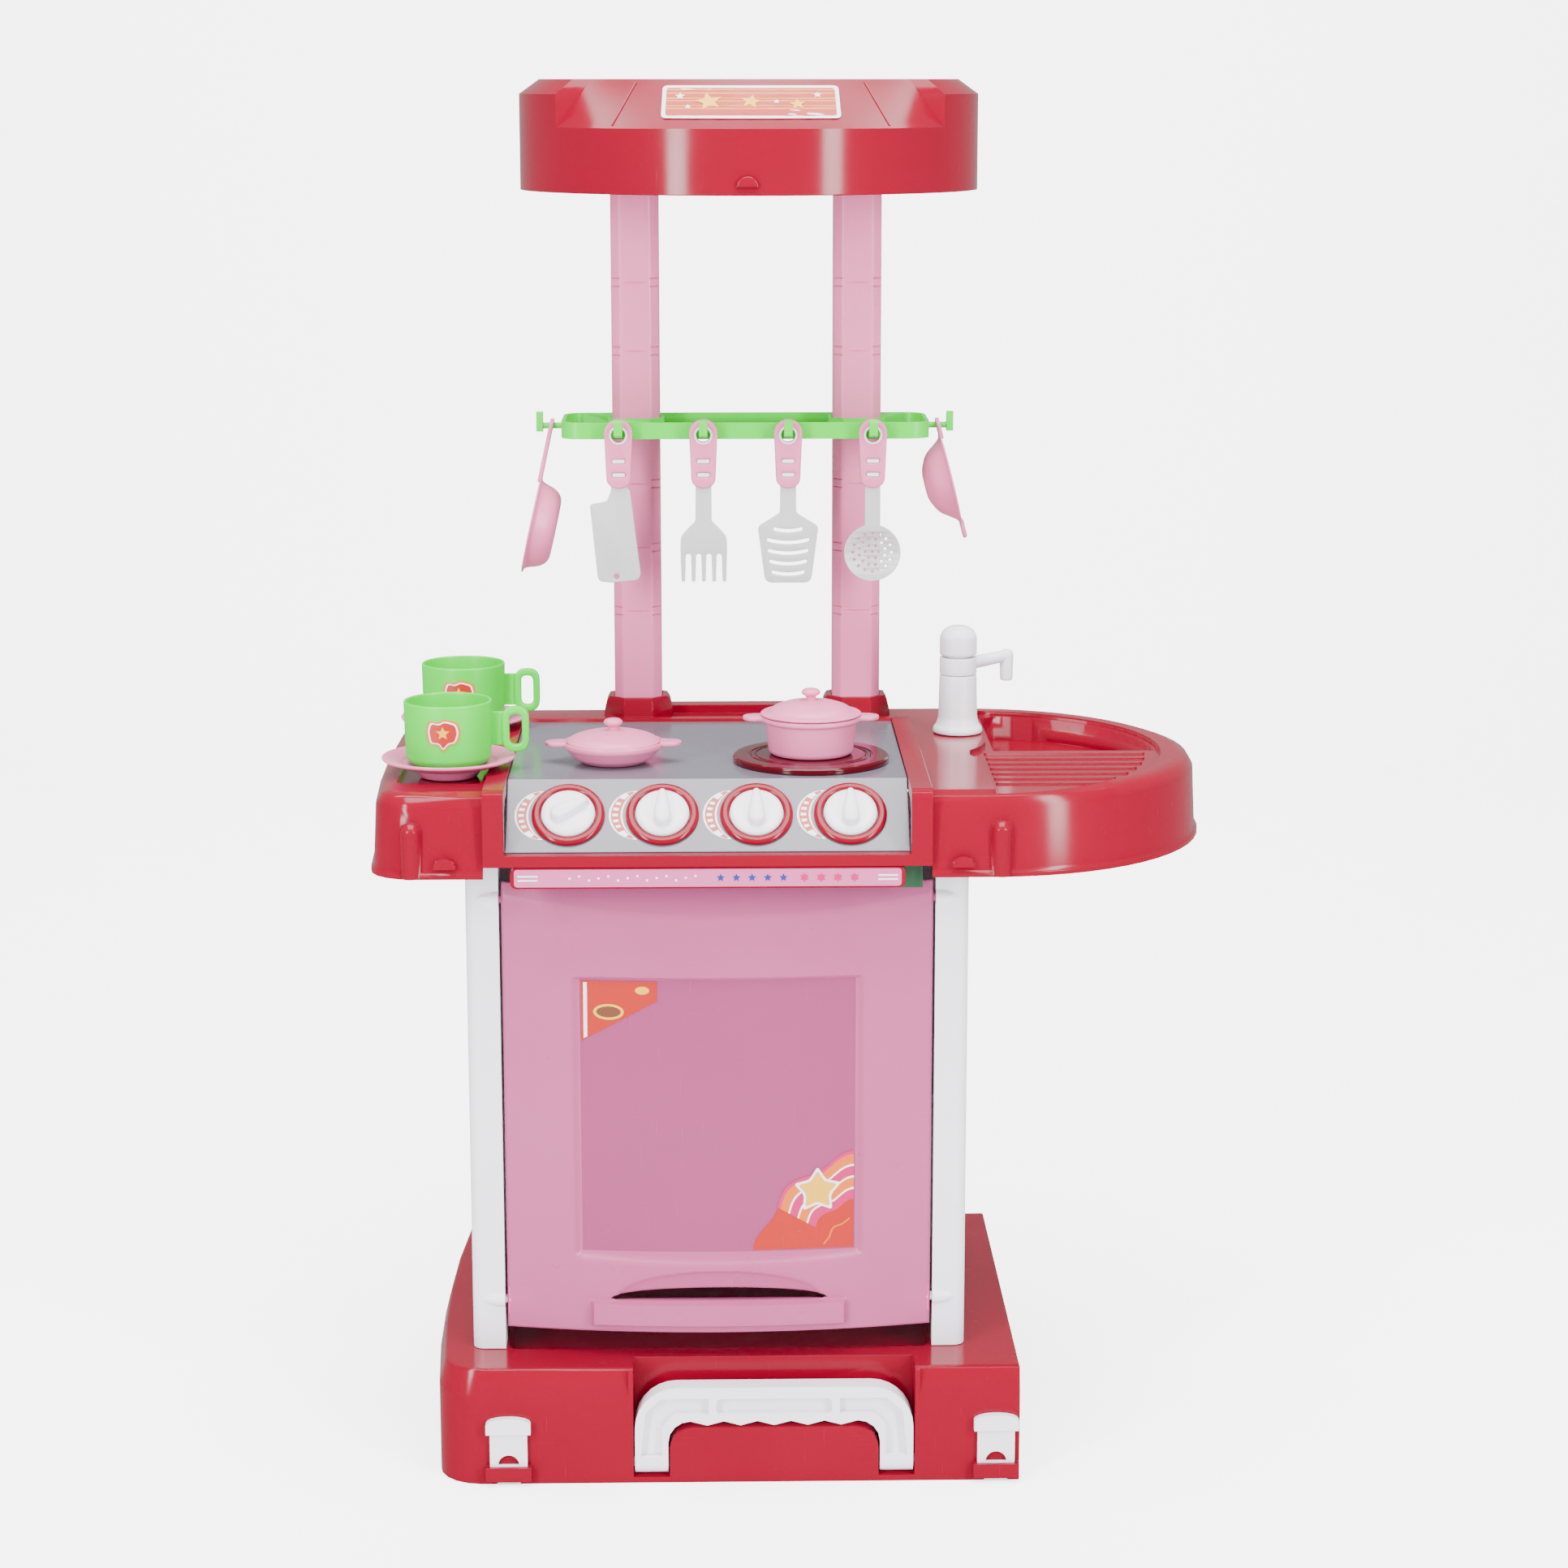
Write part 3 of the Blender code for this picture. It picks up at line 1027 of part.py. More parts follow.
def canopy_ring(inset, height, roof=0.0):
    """D-shaped ring: flat at the back, half an ellipse in front. roof pulls the front back."""
    half, depth = CANOPY_WIDTH / 2 - inset, CANOPY_DEPTH - inset - roof
    back = BACK - 0.0015 - inset
    ring = []
    for step in range(25):
        turn = math.pi * (1 + step / 24)
        ring.append((CANOPY_X + half * math.cos(turn), back + (depth - inset) * math.sin(turn), height))
    return ring


def make_canopy(red):
    """A hollow hood, open below, with two sockets inside for the posts."""
    low, band, top = CANOPY_BOTTOM, CANOPY_BOTTOM + CANOPY_BAND, CANOPY_TOP
    wall = CANOPY_WALL
    canopy = loft("canopy", [
        canopy_ring(0.0080, top, 0.030), canopy_ring(0.0050, top - 0.0015, 0.028),
        canopy_ring(0.0006, band, 0), canopy_ring(0, band - 0.003, 0), canopy_ring(0, low, 0),
        canopy_ring(wall, low, 0), canopy_ring(wall, band - 0.003, 0),
        canopy_ring(0.0050 + wall, top - wall - 0.001, 0.028),
        canopy_ring(0.0100, top - wall - 0.0012, 0.030)], red)
    for index, centre in enumerate(POST_CENTRES):
        collar = prism(f"canopy_collar_{index}", post_section(centre, SOCKET_WALL - 0.001),
                       low + 0.010, top - wall / 2)
        pocket = prism(f"canopy_pocket_{index}", post_section(centre, GAP), low - 0.01,
                       low + 0.0350 + GAP)
        add(canopy, collar)
        cut(canopy, pocket)
    catch = prism("canopy_catch", arc(CANOPY_X - 0.0020, low + 0.0040, 0.0055, 0, 180, 10),
                  BACK - CANOPY_DEPTH - 0.0027, BACK - CANOPY_DEPTH + 0.0015, "y")
    add(canopy, catch)


def hook_places():
    first = RACK_X - HOOK_SPACING * 1.5
    return [first + HOOK_SPACING * index for index in range(4)]


def make_rack(green):
    """A shallow tray around both posts, with four front hooks and an arm at each end."""
    left, right = RACK_X - RACK_WIDTH / 2, RACK_X + RACK_WIDTH / 2
    low, high = RACK_BOTTOM, RACK_BOTTOM + RACK_HEIGHT
    rack = prism("utensil_rack", rounded(left, right, RACK_FRONT, RACK_BACK, 0.010, 4), low, high,
                 "z", green)
    inner = rounded(left + RACK_WALL, right - RACK_WALL, RACK_FRONT + RACK_WALL,
                    RACK_BACK - RACK_WALL, 0.010 - RACK_WALL, 4)
    cut(rack, prism("rack_hollow", inner, low + RACK_FLOOR, high + 0.01))
    for index, centre in enumerate(POST_CENTRES):
        collar = prism(f"rack_collar_{index}", post_section(centre, GAP + RACK_WALL), low,
                       high - 0.0005)
        passage = prism(f"rack_passage_{index}", post_section(centre, GAP), low - 0.01, high + 0.01)
        add(rack, collar)
        cut(rack, passage)
    half, tip = HOOK_WIDTH / 2, RACK_FRONT - HOOK_REACH
    side = [(RACK_FRONT + 0.001, HOOK_Z - 0.0017), (tip + 0.0012, HOOK_Z - 0.0017),
            (tip, HOOK_Z - 0.0005), (tip, high + 0.0012), (tip + 0.0012, high + 0.0024),
            (tip + 0.0028, high + 0.0024), (tip + 0.0038, high + 0.0012),
            (tip + 0.0038, HOOK_Z + 0.0017), (RACK_FRONT + 0.001, HOOK_Z + 0.0017)]
    hooks = [prism(f"hook_{index}", side, across - half, across + half, "x")
             for index, across in enumerate(hook_places())]
    add(rack, many("front_hooks", hooks))
    for index, (edge, way) in enumerate(((left, -1), (right, 1))):
        arm_z = low + 0.0045
        arm = rod(f"rack_arm_{index}", (edge - way * 0.0015, ARM_Y, arm_z),
                  (edge + way * (ARM_REACH - 0.002), ARM_Y, arm_z), ARM_RADIUS, 12)
        near, far = sorted((edge + way * (ARM_REACH - 0.0035), edge + way * ARM_REACH))
        tip_block = block(f"rack_tip_{index}", (near, ARM_Y - 0.0023, arm_z - 0.0030),
                          (far, ARM_Y + 0.0023, arm_z + 0.0070))
        add(rack, arm, tip_block)


# ================================================================= utensils
def make_grip(name, across, pink):
    """A pink grip with a hole for the hook, a slot for the shank and two windows."""
    y = RACK_FRONT - 0.0058
    top, bottom = HOOK_Z + 0.0072, HOOK_Z + 0.0072 - GRIP_LENGTH
    half = GRIP_WIDTH / 2
    outline = arc(across, top - half, half, 0, 180, 10)
    outline += arc(across, bottom + half * 0.8, half * 0.86, 190, 350, 8)
    grip = prism(name, outline, y - GRIP_THICK / 2, y + GRIP_THICK / 2, "y", pink)
    slot_half, slot_depth = SHANK_WIDTH / 2 + GAP, HEAD_THICK / 2 + GAP
    slot = block(name + "_slot", (across - slot_half, y - slot_depth, bottom - 0.01),
                 (across + slot_half, y + slot_depth, bottom + SHANK_INSIDE + GAP))
    hole = rod(name + "_hole", (across, y - 0.02, hole_height()), (across, y + 0.02, hole_height()),
               HOLE_RADIUS, 16)
    windows = [prism(f"{name}_window_{index}",
                     rounded(across - 0.0033, across + 0.0033, bottom + place - 0.0011,
                             bottom + place + 0.0011, 0.0010, 2), y - 0.02, y - slot_depth / 2, "y")
               for index, place in enumerate((0.0065, 0.0135))]
    cut(grip, slot, hole, many(name + "_windows", windows))
    pivot_at(grip, (across, y, HOOK_Z))
    return bottom, y


def hole_height():
    """The grip's hole rests on the hook with a hair of air."""
    return HOOK_Z + 0.0017 + GAP - math.sqrt(HOLE_RADIUS ** 2 - (HOOK_WIDTH / 2) ** 2)


def head_plate(name, outline, across, bottom, y, white):
    """A flat utensil head. Its outline is given from the grip's lower end, mirrored or whole."""
    placed = [(across + u, bottom + v) for u, v in outline]
    return prism(name, placed, y - HEAD_THICK / 2, y + HEAD_THICK / 2, "y", white)


def shank(half=SHANK_WIDTH / 2):
    return [(half, SHANK_INSIDE), (-half, SHANK_INSIDE)]


def mirrored(right_side):
    """Complete a symmetric outline from its right side, given bottom to top."""
    return right_side + [(-u, v) for u, v in reversed(right_side)]


def make_cleaver(across, pink, white):
    bottom, y = make_grip("cleaver_grip", across, pink)
    outline = [(0.0040, SHANK_INSIDE), (-0.0040, SHANK_INSIDE), (-0.0040, -0.0010),
               (-0.0062, -0.0066), (-0.0150, -0.0082), (-0.0113, -0.0463), (-0.0100, -0.0480),
               (-0.0040, -0.0490), (0.0094, -0.0474), (0.0110, -0.0450), (0.0056, -0.0005),
               (0.0040, 0.0005)]
    blade = head_plate("cleaver_blade", outline, across, bottom, y, white)
    cut(blade, rod("blade_hole", (across - 0.0015, y - 0.01, bottom - 0.0455),
                   (across - 0.0015, y + 0.01, bottom - 0.0455), 0.0013, 10))
    pivot_at(blade, (across, y, HOOK_Z))


def make_fork(across, pink, white):
    bottom, y = make_grip("fork_grip", across, pink)
    tine, space, tip, root = 0.0027, 0.0026, -0.0485, -0.0340
    tips = []
    for index in range(5):
        left = -2.5 * tine - 2 * space + index * (tine + space)
        tips += [(left, root), (left + 0.0004, tip), (left + tine - 0.0004, tip), (left + tine, root)]
    tips[0], tips[-1] = (-0.0122, -0.0300), (0.0122, -0.0300)
    shoulders = [(0.0118, -0.0260), (0.0080, -0.0205), (0.0042, -0.0170), (0.0040, SHANK_INSIDE)]
    outline = tips + shoulders + [(-u, v) for u, v in reversed(shoulders)]
    head = head_plate("fork_head", outline, across, bottom, y, white)
    pivot_at(head, (across, y, HOOK_Z))


def make_spatula(across, pink, white):
    bottom, y = make_grip("spatula_grip", across, pink)
    right = [(0.0100, -0.0492), (0.0122, -0.0470), (0.0157, -0.0205), (0.0145, -0.0190),
             (0.0042, -0.0128), (0.0040, SHANK_INSIDE)]
    head = head_plate("spatula_head", mirrored(right), across, bottom, y, white)
    slots = []
    for index, half in enumerate((0.0075, 0.0109, 0.0105, 0.0097, 0.0085)):
        middle = bottom - 0.0215 - index * 0.0056
        slots.append(prism(f"spatula_slot_{index}",
                           rounded(across - half, across + half, middle - 0.00095,
                                   middle + 0.00095, 0.0009, 2), y - 0.01, y + 0.01, "y"))
    cut(head, many("spatula_slots", slots))
    pivot_at(head, (across, y, HOOK_Z))


def make_skimmer(across, pink, white):
    bottom, y = make_grip("skimmer_grip", across, pink)
    centre_z, radius = bottom - 0.0335, 0.0146
    neck = head_plate("skimmer_head", [(0.0040, SHANK_INSIDE), (-0.0040, SHANK_INSIDE),
                                       (-0.0040, -0.0205), (0.0040, -0.0205)],
                      across, bottom, y, white)
    facing = Matrix.Rotation(math.radians(90), 3, "X")
    dish = [(0, -0.0052), (0.0050, -0.0046), (0.0100, -0.0026), (radius, 0.0002), (radius, 0.0017),
            (radius - 0.0016, 0.0015), (0.0094, -0.0011), (0.0046, -0.0031), (0, -0.0036)]
    bowl = turned("skimmer_bowl", dish, (across, y, centre_z), 24, facing)
    holes = []
    for count, ring in ((6, 0.0042), (12, 0.0085)):
        for step in range(count):
            turn = 2 * math.pi * (step + 0.27) / count
            x, z = across + ring * math.cos(turn), centre_z + ring * math.sin(turn)
            holes.append(rod(f"skimmer_hole_{count}_{step}", (x, y - 0.02, z), (x, y + 0.02, z),
                             0.0007, 6))
    add(neck, bowl)
    cut(neck, many("skimmer_holes", holes))
    pivot_at(neck, (across, y, HOOK_Z))


def hanging_frame(way, lean):
    """Axes of a pan that hangs on an arm: Z looks out of the pan, Y runs up its handle."""
    up = Vector((-way * math.sin(lean), 0, math.cos(lean)))
    out = Vector((way * math.cos(lean), 0, math.sin(lean)))
    across = up.cross(out)
    return Matrix((across, up, out)).transposed()


def bowl_profile(radius, depth, floor, wall=0.0015, flange=0.0012):
    """Half a section through a bowl whose mouth is at height zero."""
    return [(0, -depth), (floor, -depth), (radius * 0.5 + floor * 0.5, -depth * 0.72),
            (radius - 0.0012, -0.0012), (radius + flange, -0.0012), (radius + flange, 0),
            (radius - wall, 0), (radius * 0.5 + floor * 0.5 - wall, -depth * 0.72 + wall * 0.4),
            (floor - wall * 0.5, -depth + wall), (0, -depth + wall)]


def make_hanging(name, way, lean, radius, depth, floor, hole_reach, tail, hook_x, pink):
    """A small pan on a rack arm: bowl, handle with a hole, and a tail tab on the wok."""
    frame = hanging_frame(way, lean)
    arm_z = RACK_BOTTOM + 0.0045
    hole = Vector((hook_x, ARM_Y, arm_z - (HOLE_RADIUS - ARM_RADIUS) + 0.0006))
    centre = hole - frame @ Vector((0, hole_reach, 0))
    pan = turned(name, bowl_profile(radius, depth, floor), centre, 28, frame, pink)

    def tab(tab_name, reach, sign):
        half = 0.0052
        outline = [(-half, radius * 0.93), (half, radius * 0.93)]
        outline += arc(0, reach, half, 0, 180, 8)
        rings = [[centre + frame @ Vector((sign * u, sign * v, height)) for u, v in outline]
                 for height in (-0.0010, 0.0012)]
        return loft(tab_name, rings)

    add(pan, tab(name + "_handle", hole_reach, 1))
    if tail:
        add(pan, tab(name + "_tail", hole_reach - 0.001, -1))
    reach = frame @ Vector((0, 0, 0.01))
    cut(pan, rod(name + "_hole", hole - reach, hole + reach, HOLE_RADIUS, 16))
    cut(pan, turned(name + "_mouth", [(0, -depth + 0.0015), (floor - 0.0008, -depth + 0.0015),
                                      (radius * 0.5 + floor * 0.5 - 0.0015, -depth * 0.72 + 0.0006),
                                      (radius - 0.0015, 0.0001), (radius - 0.0015, 0.01), (0, 0.01)],
                    centre, 28, frame))
    pivot_at(pan, (hook_x, ARM_Y, arm_z))


# ================================================================= crockery and cookware
def saucer_foot():
    return WORKTOP_TOP - TRAY_SUNK + GAP


def make_saucer(name, y, pink):
    plate = 0.0052
    profile = [(0, plate), (0.0120, plate), (0.0120, 0), (0.0140, 0), (0.0172, plate - 0.0004),
               (0.0240, plate + 0.0006), (SAUCER_RADIUS, 0.0094), (SAUCER_RADIUS, 0.0102),
               (SAUCER_RADIUS - 0.0012, 0.0105), (0.0238, plate + 0.0021), (0.0225, plate + 0.0016),
               (0, plate + 0.0016)]
    saucer = turned(name, profile, (SAUCER_X, y, saucer_foot()), 32, None, pink)
    pivot_at(saucer, (SAUCER_X, y, saucer_foot()))
    return saucer_foot() + plate + 0.0016


def make_cup(name, y, foot, green):
    """A squat cup with a web and a flat oval ring for a handle."""
    low = foot + GAP
    radius, inner = CUP_RADIUS, CUP_RADIUS - CUP_WALL
    profile = [(0, 0), (radius - 0.0016, 0), (radius, 0.0016), (radius, CUP_HEIGHT - 0.0008),
               (radius - 0.0004, CUP_HEIGHT), (inner, CUP_HEIGHT), (inner - 0.0002, CUP_WALL + 0.001),
               (inner - 0.0012, CUP_WALL), (0, CUP_WALL)]
    cup = turned(name, profile, (SAUCER_X, y, low), 28, None, green)
    web_low, web_high = low + 0.0085, low + 0.0255
    ring_left = SAUCER_X + radius + 0.0050
    web = block(name + "_web", (SAUCER_X + radius - 0.0008, y - 0.0009, web_low),
                (ring_left + 0.0015, y + 0.0009, web_high))
    ring = prism(name + "_ring", rounded(ring_left, ring_left + 0.0130, web_low - 0.0035,
                                         web_high + 0.0025, 0.0062, 5), y - 0.0024, y + 0.0024, "y")
    loop = prism(name + "_loop", rounded(ring_left + 0.0036, ring_left + 0.0094, web_low,
                                         web_high - 0.0010, 0.0028, 4), y - 0.01, y + 0.01, "y")
    add(cup, web, ring)
    cut(cup, loop)
    pivot_at(cup, (SAUCER_X, y, low))


def handle_tabs(name, centre, radius, height, half=0.0060):
    """Two flat ear handles in line with the worktop."""
    tabs = []
    for index, way in enumerate((-1, 1)):
        edge = radius - 0.0015
        outline = [(centre[0] + way * edge, centre[1] + way * half),
                   (centre[0] + way * edge, centre[1] - way * half)]
        start = 270 if way > 0 else 90
        outline += arc(centre[0] + way * (radius + TAB_REACH - half), centre[1], half, start,
                       start + 180, 6)
        tabs.append(prism(f"{name}_tab_{index}", outline, height - 0.0022, height))
    return many(name + "_tabs", tabs)


def make_pot_and_pan(pink):
    pan_low, ledge = COOKTOP_TOP + GAP, PAN_HEIGHT - 0.0014
    profile = [(0, 0), (0.0150, 0), (0.0195, 0.0024), (0.0232, 0.0068), (PAN_RADIUS, 0.0080),
               (PAN_RADIUS, PAN_HEIGHT), (0.0238, PAN_HEIGHT), (0.0236, ledge), (0.0216, ledge),
               (0.0185, 0.0038), (0.0146, 0.0016), (0, 0.0016)]
    pan = turned("pan", profile, (PAN_X, PAN_Y, pan_low), 32, None, pink)
    add(pan, handle_tabs("pan", (PAN_X, PAN_Y), PAN_RADIUS, pan_low + PAN_HEIGHT))
    pivot_at(pan, (PAN_X, PAN_Y, pan_low))
    make_lid("pan_lid", (PAN_X, PAN_Y, pan_low + ledge + GAP), 0.0230, 0.0215, 0.0064, pink)
    pot_low = COOKTOP_TOP + 2 * GAP + BURNER_HEIGHT
    wall = 0.0016
    profile = [(0, 0), (0.0196, 0), (0.0210, 0.0014), (POT_RADIUS, POT_HEIGHT - 0.0026),
               (POT_RADIUS + 0.0022, POT_HEIGHT - 0.0020), (POT_RADIUS + 0.0022, POT_HEIGHT),
               (POT_RADIUS - wall, POT_HEIGHT), (0.0196, 0.0022), (0.0190, wall), (0, wall)]
    pot = turned("pot", profile, (BURNER_X, POT_Y, pot_low), 32, None, pink)
    add(pot, handle_tabs("pot", (BURNER_X, POT_Y), POT_RADIUS + 0.0022, pot_low + POT_HEIGHT))
    pivot_at(pot, (BURNER_X, POT_Y, pot_low))
    make_lid("pot_lid", (BURNER_X, POT_Y, pot_low + POT_HEIGHT + GAP), 0.0250, 0.0205, 0.0072, pink)


def make_lid(name, centre, rim, dome, height, pink):
    """A domed lid with a rim and a small knob, hollow below."""
    profile = [(rim, 0), (rim, 0.0014), (dome, 0.0018), (dome * 0.86, height * 0.62),
               (dome * 0.55, height * 0.93), (0.0026, height), (0.0024, height + 0.0018),
               (0.0044, height + 0.0026), (0.0046, height + 0.0044), (0.0032, height + 0.0058),
               (0, height + 0.0062), ]
    under = [(0, height - 0.0015), (dome * 0.53, height * 0.93 - 0.0015),
             (dome * 0.82, height * 0.62 - 0.0013), (dome - 0.0018, 0)]
    lid = turned(name, under + profile, centre, 32, None, pink)
    pivot_at(lid, centre)


# ================================================================= assembly
def build():
    for leftover in list(bpy.data.objects):
        bpy.data.objects.remove(leftover, do_unlink=True)
    look = make_materials()
    red, pink, white, green = look["red"], look["pink"], look["white"], look["green"]
    make_base(red)
    make_carry_handle(white)
    for name, centre in zip(("latch_left", "latch_right"), LATCH_CENTRES):
        make_latch(name, centre, white)
    make_side_panel("side_panel_left", -1, white)
    make_side_panel("side_panel_right", 1, white)
    make_back_sheets(white)
    make_oven_shelf(white)
    make_oven_door(look["door"])
    make_worktop(red)
    make_front_bar(red)
    make_cooktop(look["grey"])
    make_knobs(red, white)
    make_burner(look["lens"], white, look["board"], look["black"], look["steel"])
    make_faucet(white)
    for name, centre in zip(("post_left", "post_right"), POST_CENTRES):
        make_post(name, centre, pink)
    make_canopy(red)
    make_rack(green)
    for maker, across in zip((make_cleaver, make_fork, make_spatula, make_skimmer), hook_places()):
        maker(across, pink, white)
    rack_left, rack_right = RACK_X - RACK_WIDTH / 2, RACK_X + RACK_WIDTH / 2
    make_hanging("hanging_pan", -1, math.radians(12.5), HANGING_RADIUS, HANGING_DEPTH, 0.0165,
                 0.0515, False, rack_left - 0.0062, pink)
    make_hanging("hanging_wok", 1, math.radians(14), WOK_RADIUS, WOK_DEPTH, 0.0075,
                 0.0278, True, rack_right + 0.0062, pink)
    for place, y in zip(("front", "back"), CUP_PLACES):
        foot = make_saucer("saucer_" + place, y, pink)
        make_cup("cup_" + place, y, foot, green)
    make_pot_and_pan(pink)
    stand_over_origin()


def stand_over_origin():
    """The latches stand out in front, so the middle of the whole lies a little forward."""
    for made in bpy.data.objects:
        made.location.y += LATCH_STANDS_OUT / 2


build()
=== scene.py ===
# %% [markdown]
# # A toy kitchen that packs into its own case
#
# The real toy is a set of injection-moulded shells: a red case half as the base, two white
# side panels, the other case half as the worktop, and two pink posts that carry a rack and a
# canopy. The CAD frame already holds every piece at its true size, so this lesson keeps the
# big plain shells from it and makes the pieces whose curves catch the light as new surfaces.

# %% Load the frame
import json
import math

import bmesh
import bpy
import numpy as np
from mathutils import Matrix, Vector

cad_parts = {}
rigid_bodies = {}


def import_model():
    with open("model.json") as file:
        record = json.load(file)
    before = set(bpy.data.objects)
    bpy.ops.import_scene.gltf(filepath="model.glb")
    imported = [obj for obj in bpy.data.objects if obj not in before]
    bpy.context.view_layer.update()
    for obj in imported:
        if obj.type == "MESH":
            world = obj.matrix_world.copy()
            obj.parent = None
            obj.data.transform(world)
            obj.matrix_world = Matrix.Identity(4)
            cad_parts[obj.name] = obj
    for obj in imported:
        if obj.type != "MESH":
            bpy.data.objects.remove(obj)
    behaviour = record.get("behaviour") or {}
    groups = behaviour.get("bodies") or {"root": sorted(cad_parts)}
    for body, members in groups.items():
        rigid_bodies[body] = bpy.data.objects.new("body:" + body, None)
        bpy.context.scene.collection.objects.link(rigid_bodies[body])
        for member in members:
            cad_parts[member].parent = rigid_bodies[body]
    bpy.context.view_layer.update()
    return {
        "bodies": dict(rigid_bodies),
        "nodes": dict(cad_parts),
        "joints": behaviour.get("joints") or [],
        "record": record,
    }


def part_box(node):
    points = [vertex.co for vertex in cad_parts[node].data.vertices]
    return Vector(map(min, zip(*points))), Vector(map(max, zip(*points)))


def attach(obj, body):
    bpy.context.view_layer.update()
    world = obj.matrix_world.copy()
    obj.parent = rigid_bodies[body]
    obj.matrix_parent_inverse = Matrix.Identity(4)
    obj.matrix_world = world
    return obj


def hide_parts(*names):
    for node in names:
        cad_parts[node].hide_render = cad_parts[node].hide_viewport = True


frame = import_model()
cad_nodes = frame["nodes"]
print("loaded", len(cad_nodes), "CAD nodes")

# %% [markdown]
# ## Looking at it
#
# A small product is best shown with a long lens from far away, because that keeps upright
# lines upright. Here the lens is nearly 78 mm and stands 1.7 m off, level with the canopy and
# tipped down by twelve degrees, so the cooktop and the sink can be seen from above.

# %% Camera
camera_data = bpy.data.cameras.new("camera")
camera_data.lens = 77.7
camera_data.sensor_width = 36
camera = bpy.data.objects.new("camera", camera_data)
camera.location = (-0.040, -1.688, 0.682)
camera.rotation_euler = (math.radians(90 - 11.8), 0, math.radians(-1.25))
bpy.context.scene.collection.objects.link(camera)
bpy.context.scene.camera = camera
print("camera at", tuple(round(c, 3) for c in camera.location))

# %% [markdown]
# ## Light and floor
#
# Glossy plastic is shown by what it mirrors. Two tall softboxes in front draw the upright
# highlights on the canopy, a broad one above fills the worktop, and one behind lights the
# backdrop. A bright surrounding world keeps the shadows soft.

# %% Studio
def softbox(name, place, target, width, height, power):
    """A rectangular lamp at a place, turned to face a target."""
    data = bpy.data.lights.new(name, "AREA")
    data.shape = "RECTANGLE"
    data.size = width
    data.size_y = height
    data.energy = power
    lamp = bpy.data.objects.new(name, data)
    lamp.location = place
    aim = Vector(target) - Vector(place)
    lamp.rotation_euler = aim.to_track_quat("-Z", "Y").to_euler()
    bpy.context.scene.collection.objects.link(lamp)
    return lamp


softbox("softbox_left", (-0.95, -1.30, 0.85), (0, 0, 0.42), 0.26, 1.20, 36)
softbox("softbox_right", (1.00, -1.20, 0.85), (0, 0, 0.42), 0.26, 1.20, 33)
softbox("softbox_above", (0.0, -0.55, 2.30), (0, 0, 0.35), 1.80, 1.40, 105)
softbox("softbox_behind", (0.0, 0.9, 2.6), (0, 2.4, 0.9), 3.0, 1.0, 120)
world = bpy.data.worlds.new("studio")
world.use_nodes = True
tree = world.node_tree
room = tree.nodes["Background"]
room.inputs["Color"].default_value = (1.0, 1.0, 1.0, 1)
room.inputs["Strength"].default_value = 0.52
sky = tree.nodes.new("ShaderNodeBackground")
sky.inputs["Strength"].default_value = 2.6
seen = tree.nodes.new("ShaderNodeLightPath")
blend = tree.nodes.new("ShaderNodeMixShader")
tree.links.new(seen.outputs["Is Camera Ray"], blend.inputs[0])
tree.links.new(room.outputs[0], blend.inputs[1])
tree.links.new(sky.outputs[0], blend.inputs[2])
tree.links.new(blend.outputs[0], tree.nodes["World Output"].inputs[0])
bpy.context.scene.world = world
print("four softboxes and a bright surrounding")

# %% [markdown]
# ## Mesh helpers
#
# Almost every moulded shape is one of a few kinds: a profile turned round an axis, a tube
# along a path, a flat plate with rounded edges, or a stack of rings. Each helper works out its
# points as whole arrays and returns (points, faces), so that several of them can be joined
# into one piece.

# %% Shapes as arrays
def grid_faces(rows, columns, wrap=False):
    """Corner numbers of each quad between row r and r+1, column c and c+1."""
    row, column = np.meshgrid(np.arange(rows - 1), np.arange(columns - (not wrap)), indexing="ij")
    after = (column + 1) % columns
    quads = [row * columns + column, row * columns + after,
             (row + 1) * columns + after, (row + 1) * columns + column]
    return np.stack(quads, -1).reshape(-1, 4).tolist()


def eased(corners, reach, closed=False, steps=5):
    """Each corner c between a and b becomes (1-s)^2 a + 2s(1-s) c + s^2 b, where a and b lie
    at most reach away from c along its two sides."""
    corners = np.asarray(corners, float)
    here = corners if closed else corners[1:-1]
    before = np.roll(corners, 1, 0) if closed else corners[:-2]
    after = np.roll(corners, -1, 0) if closed else corners[2:]

    def towards(end):
        away = end - here
        length = np.linalg.norm(away, axis=1, keepdims=True)
        return here + away / length * np.minimum(reach, length * 0.48)

    first, last = towards(before), towards(after)
    s = np.linspace(0, 1, steps + 1)[:, None, None]
    curve = (1 - s) ** 2 * first + 2 * s * (1 - s) * here + s ** 2 * last
    curve = curve.transpose(1, 0, 2).reshape(-1, corners.shape[1])
    return curve if closed else np.vstack([corners[:1], curve, corners[-1:]])


def turned(profile, centre, frame=None, segments=96):
    """A profile of (radius, height) turned about the Z axis of a frame: x = r cos a, y = r sin a."""
    profile = np.asarray(profile, float)
    angle = np.linspace(0, 2 * np.pi, segments, endpoint=False)
    radius, height = profile[:, :1], profile[:, 1:]
    grid = np.stack([radius * np.cos(angle), radius * np.sin(angle),
                     height + 0 * angle], -1).reshape(-1, 3)
    axes = np.array(frame or Matrix.Identity(3))
    return grid @ axes.T + np.array(centre), grid_faces(len(profile), segments, True)


def loft(rings):
    """A stack of equal rings, closed by one flat face at each end."""
    rings = np.asarray(rings, float)
    count, size = rings.shape[:2]
    faces = grid_faces(count, size, True)
    faces += [list(range(size)), list(range((count - 1) * size, count * size))]
    return rings.reshape(-1, 3), faces


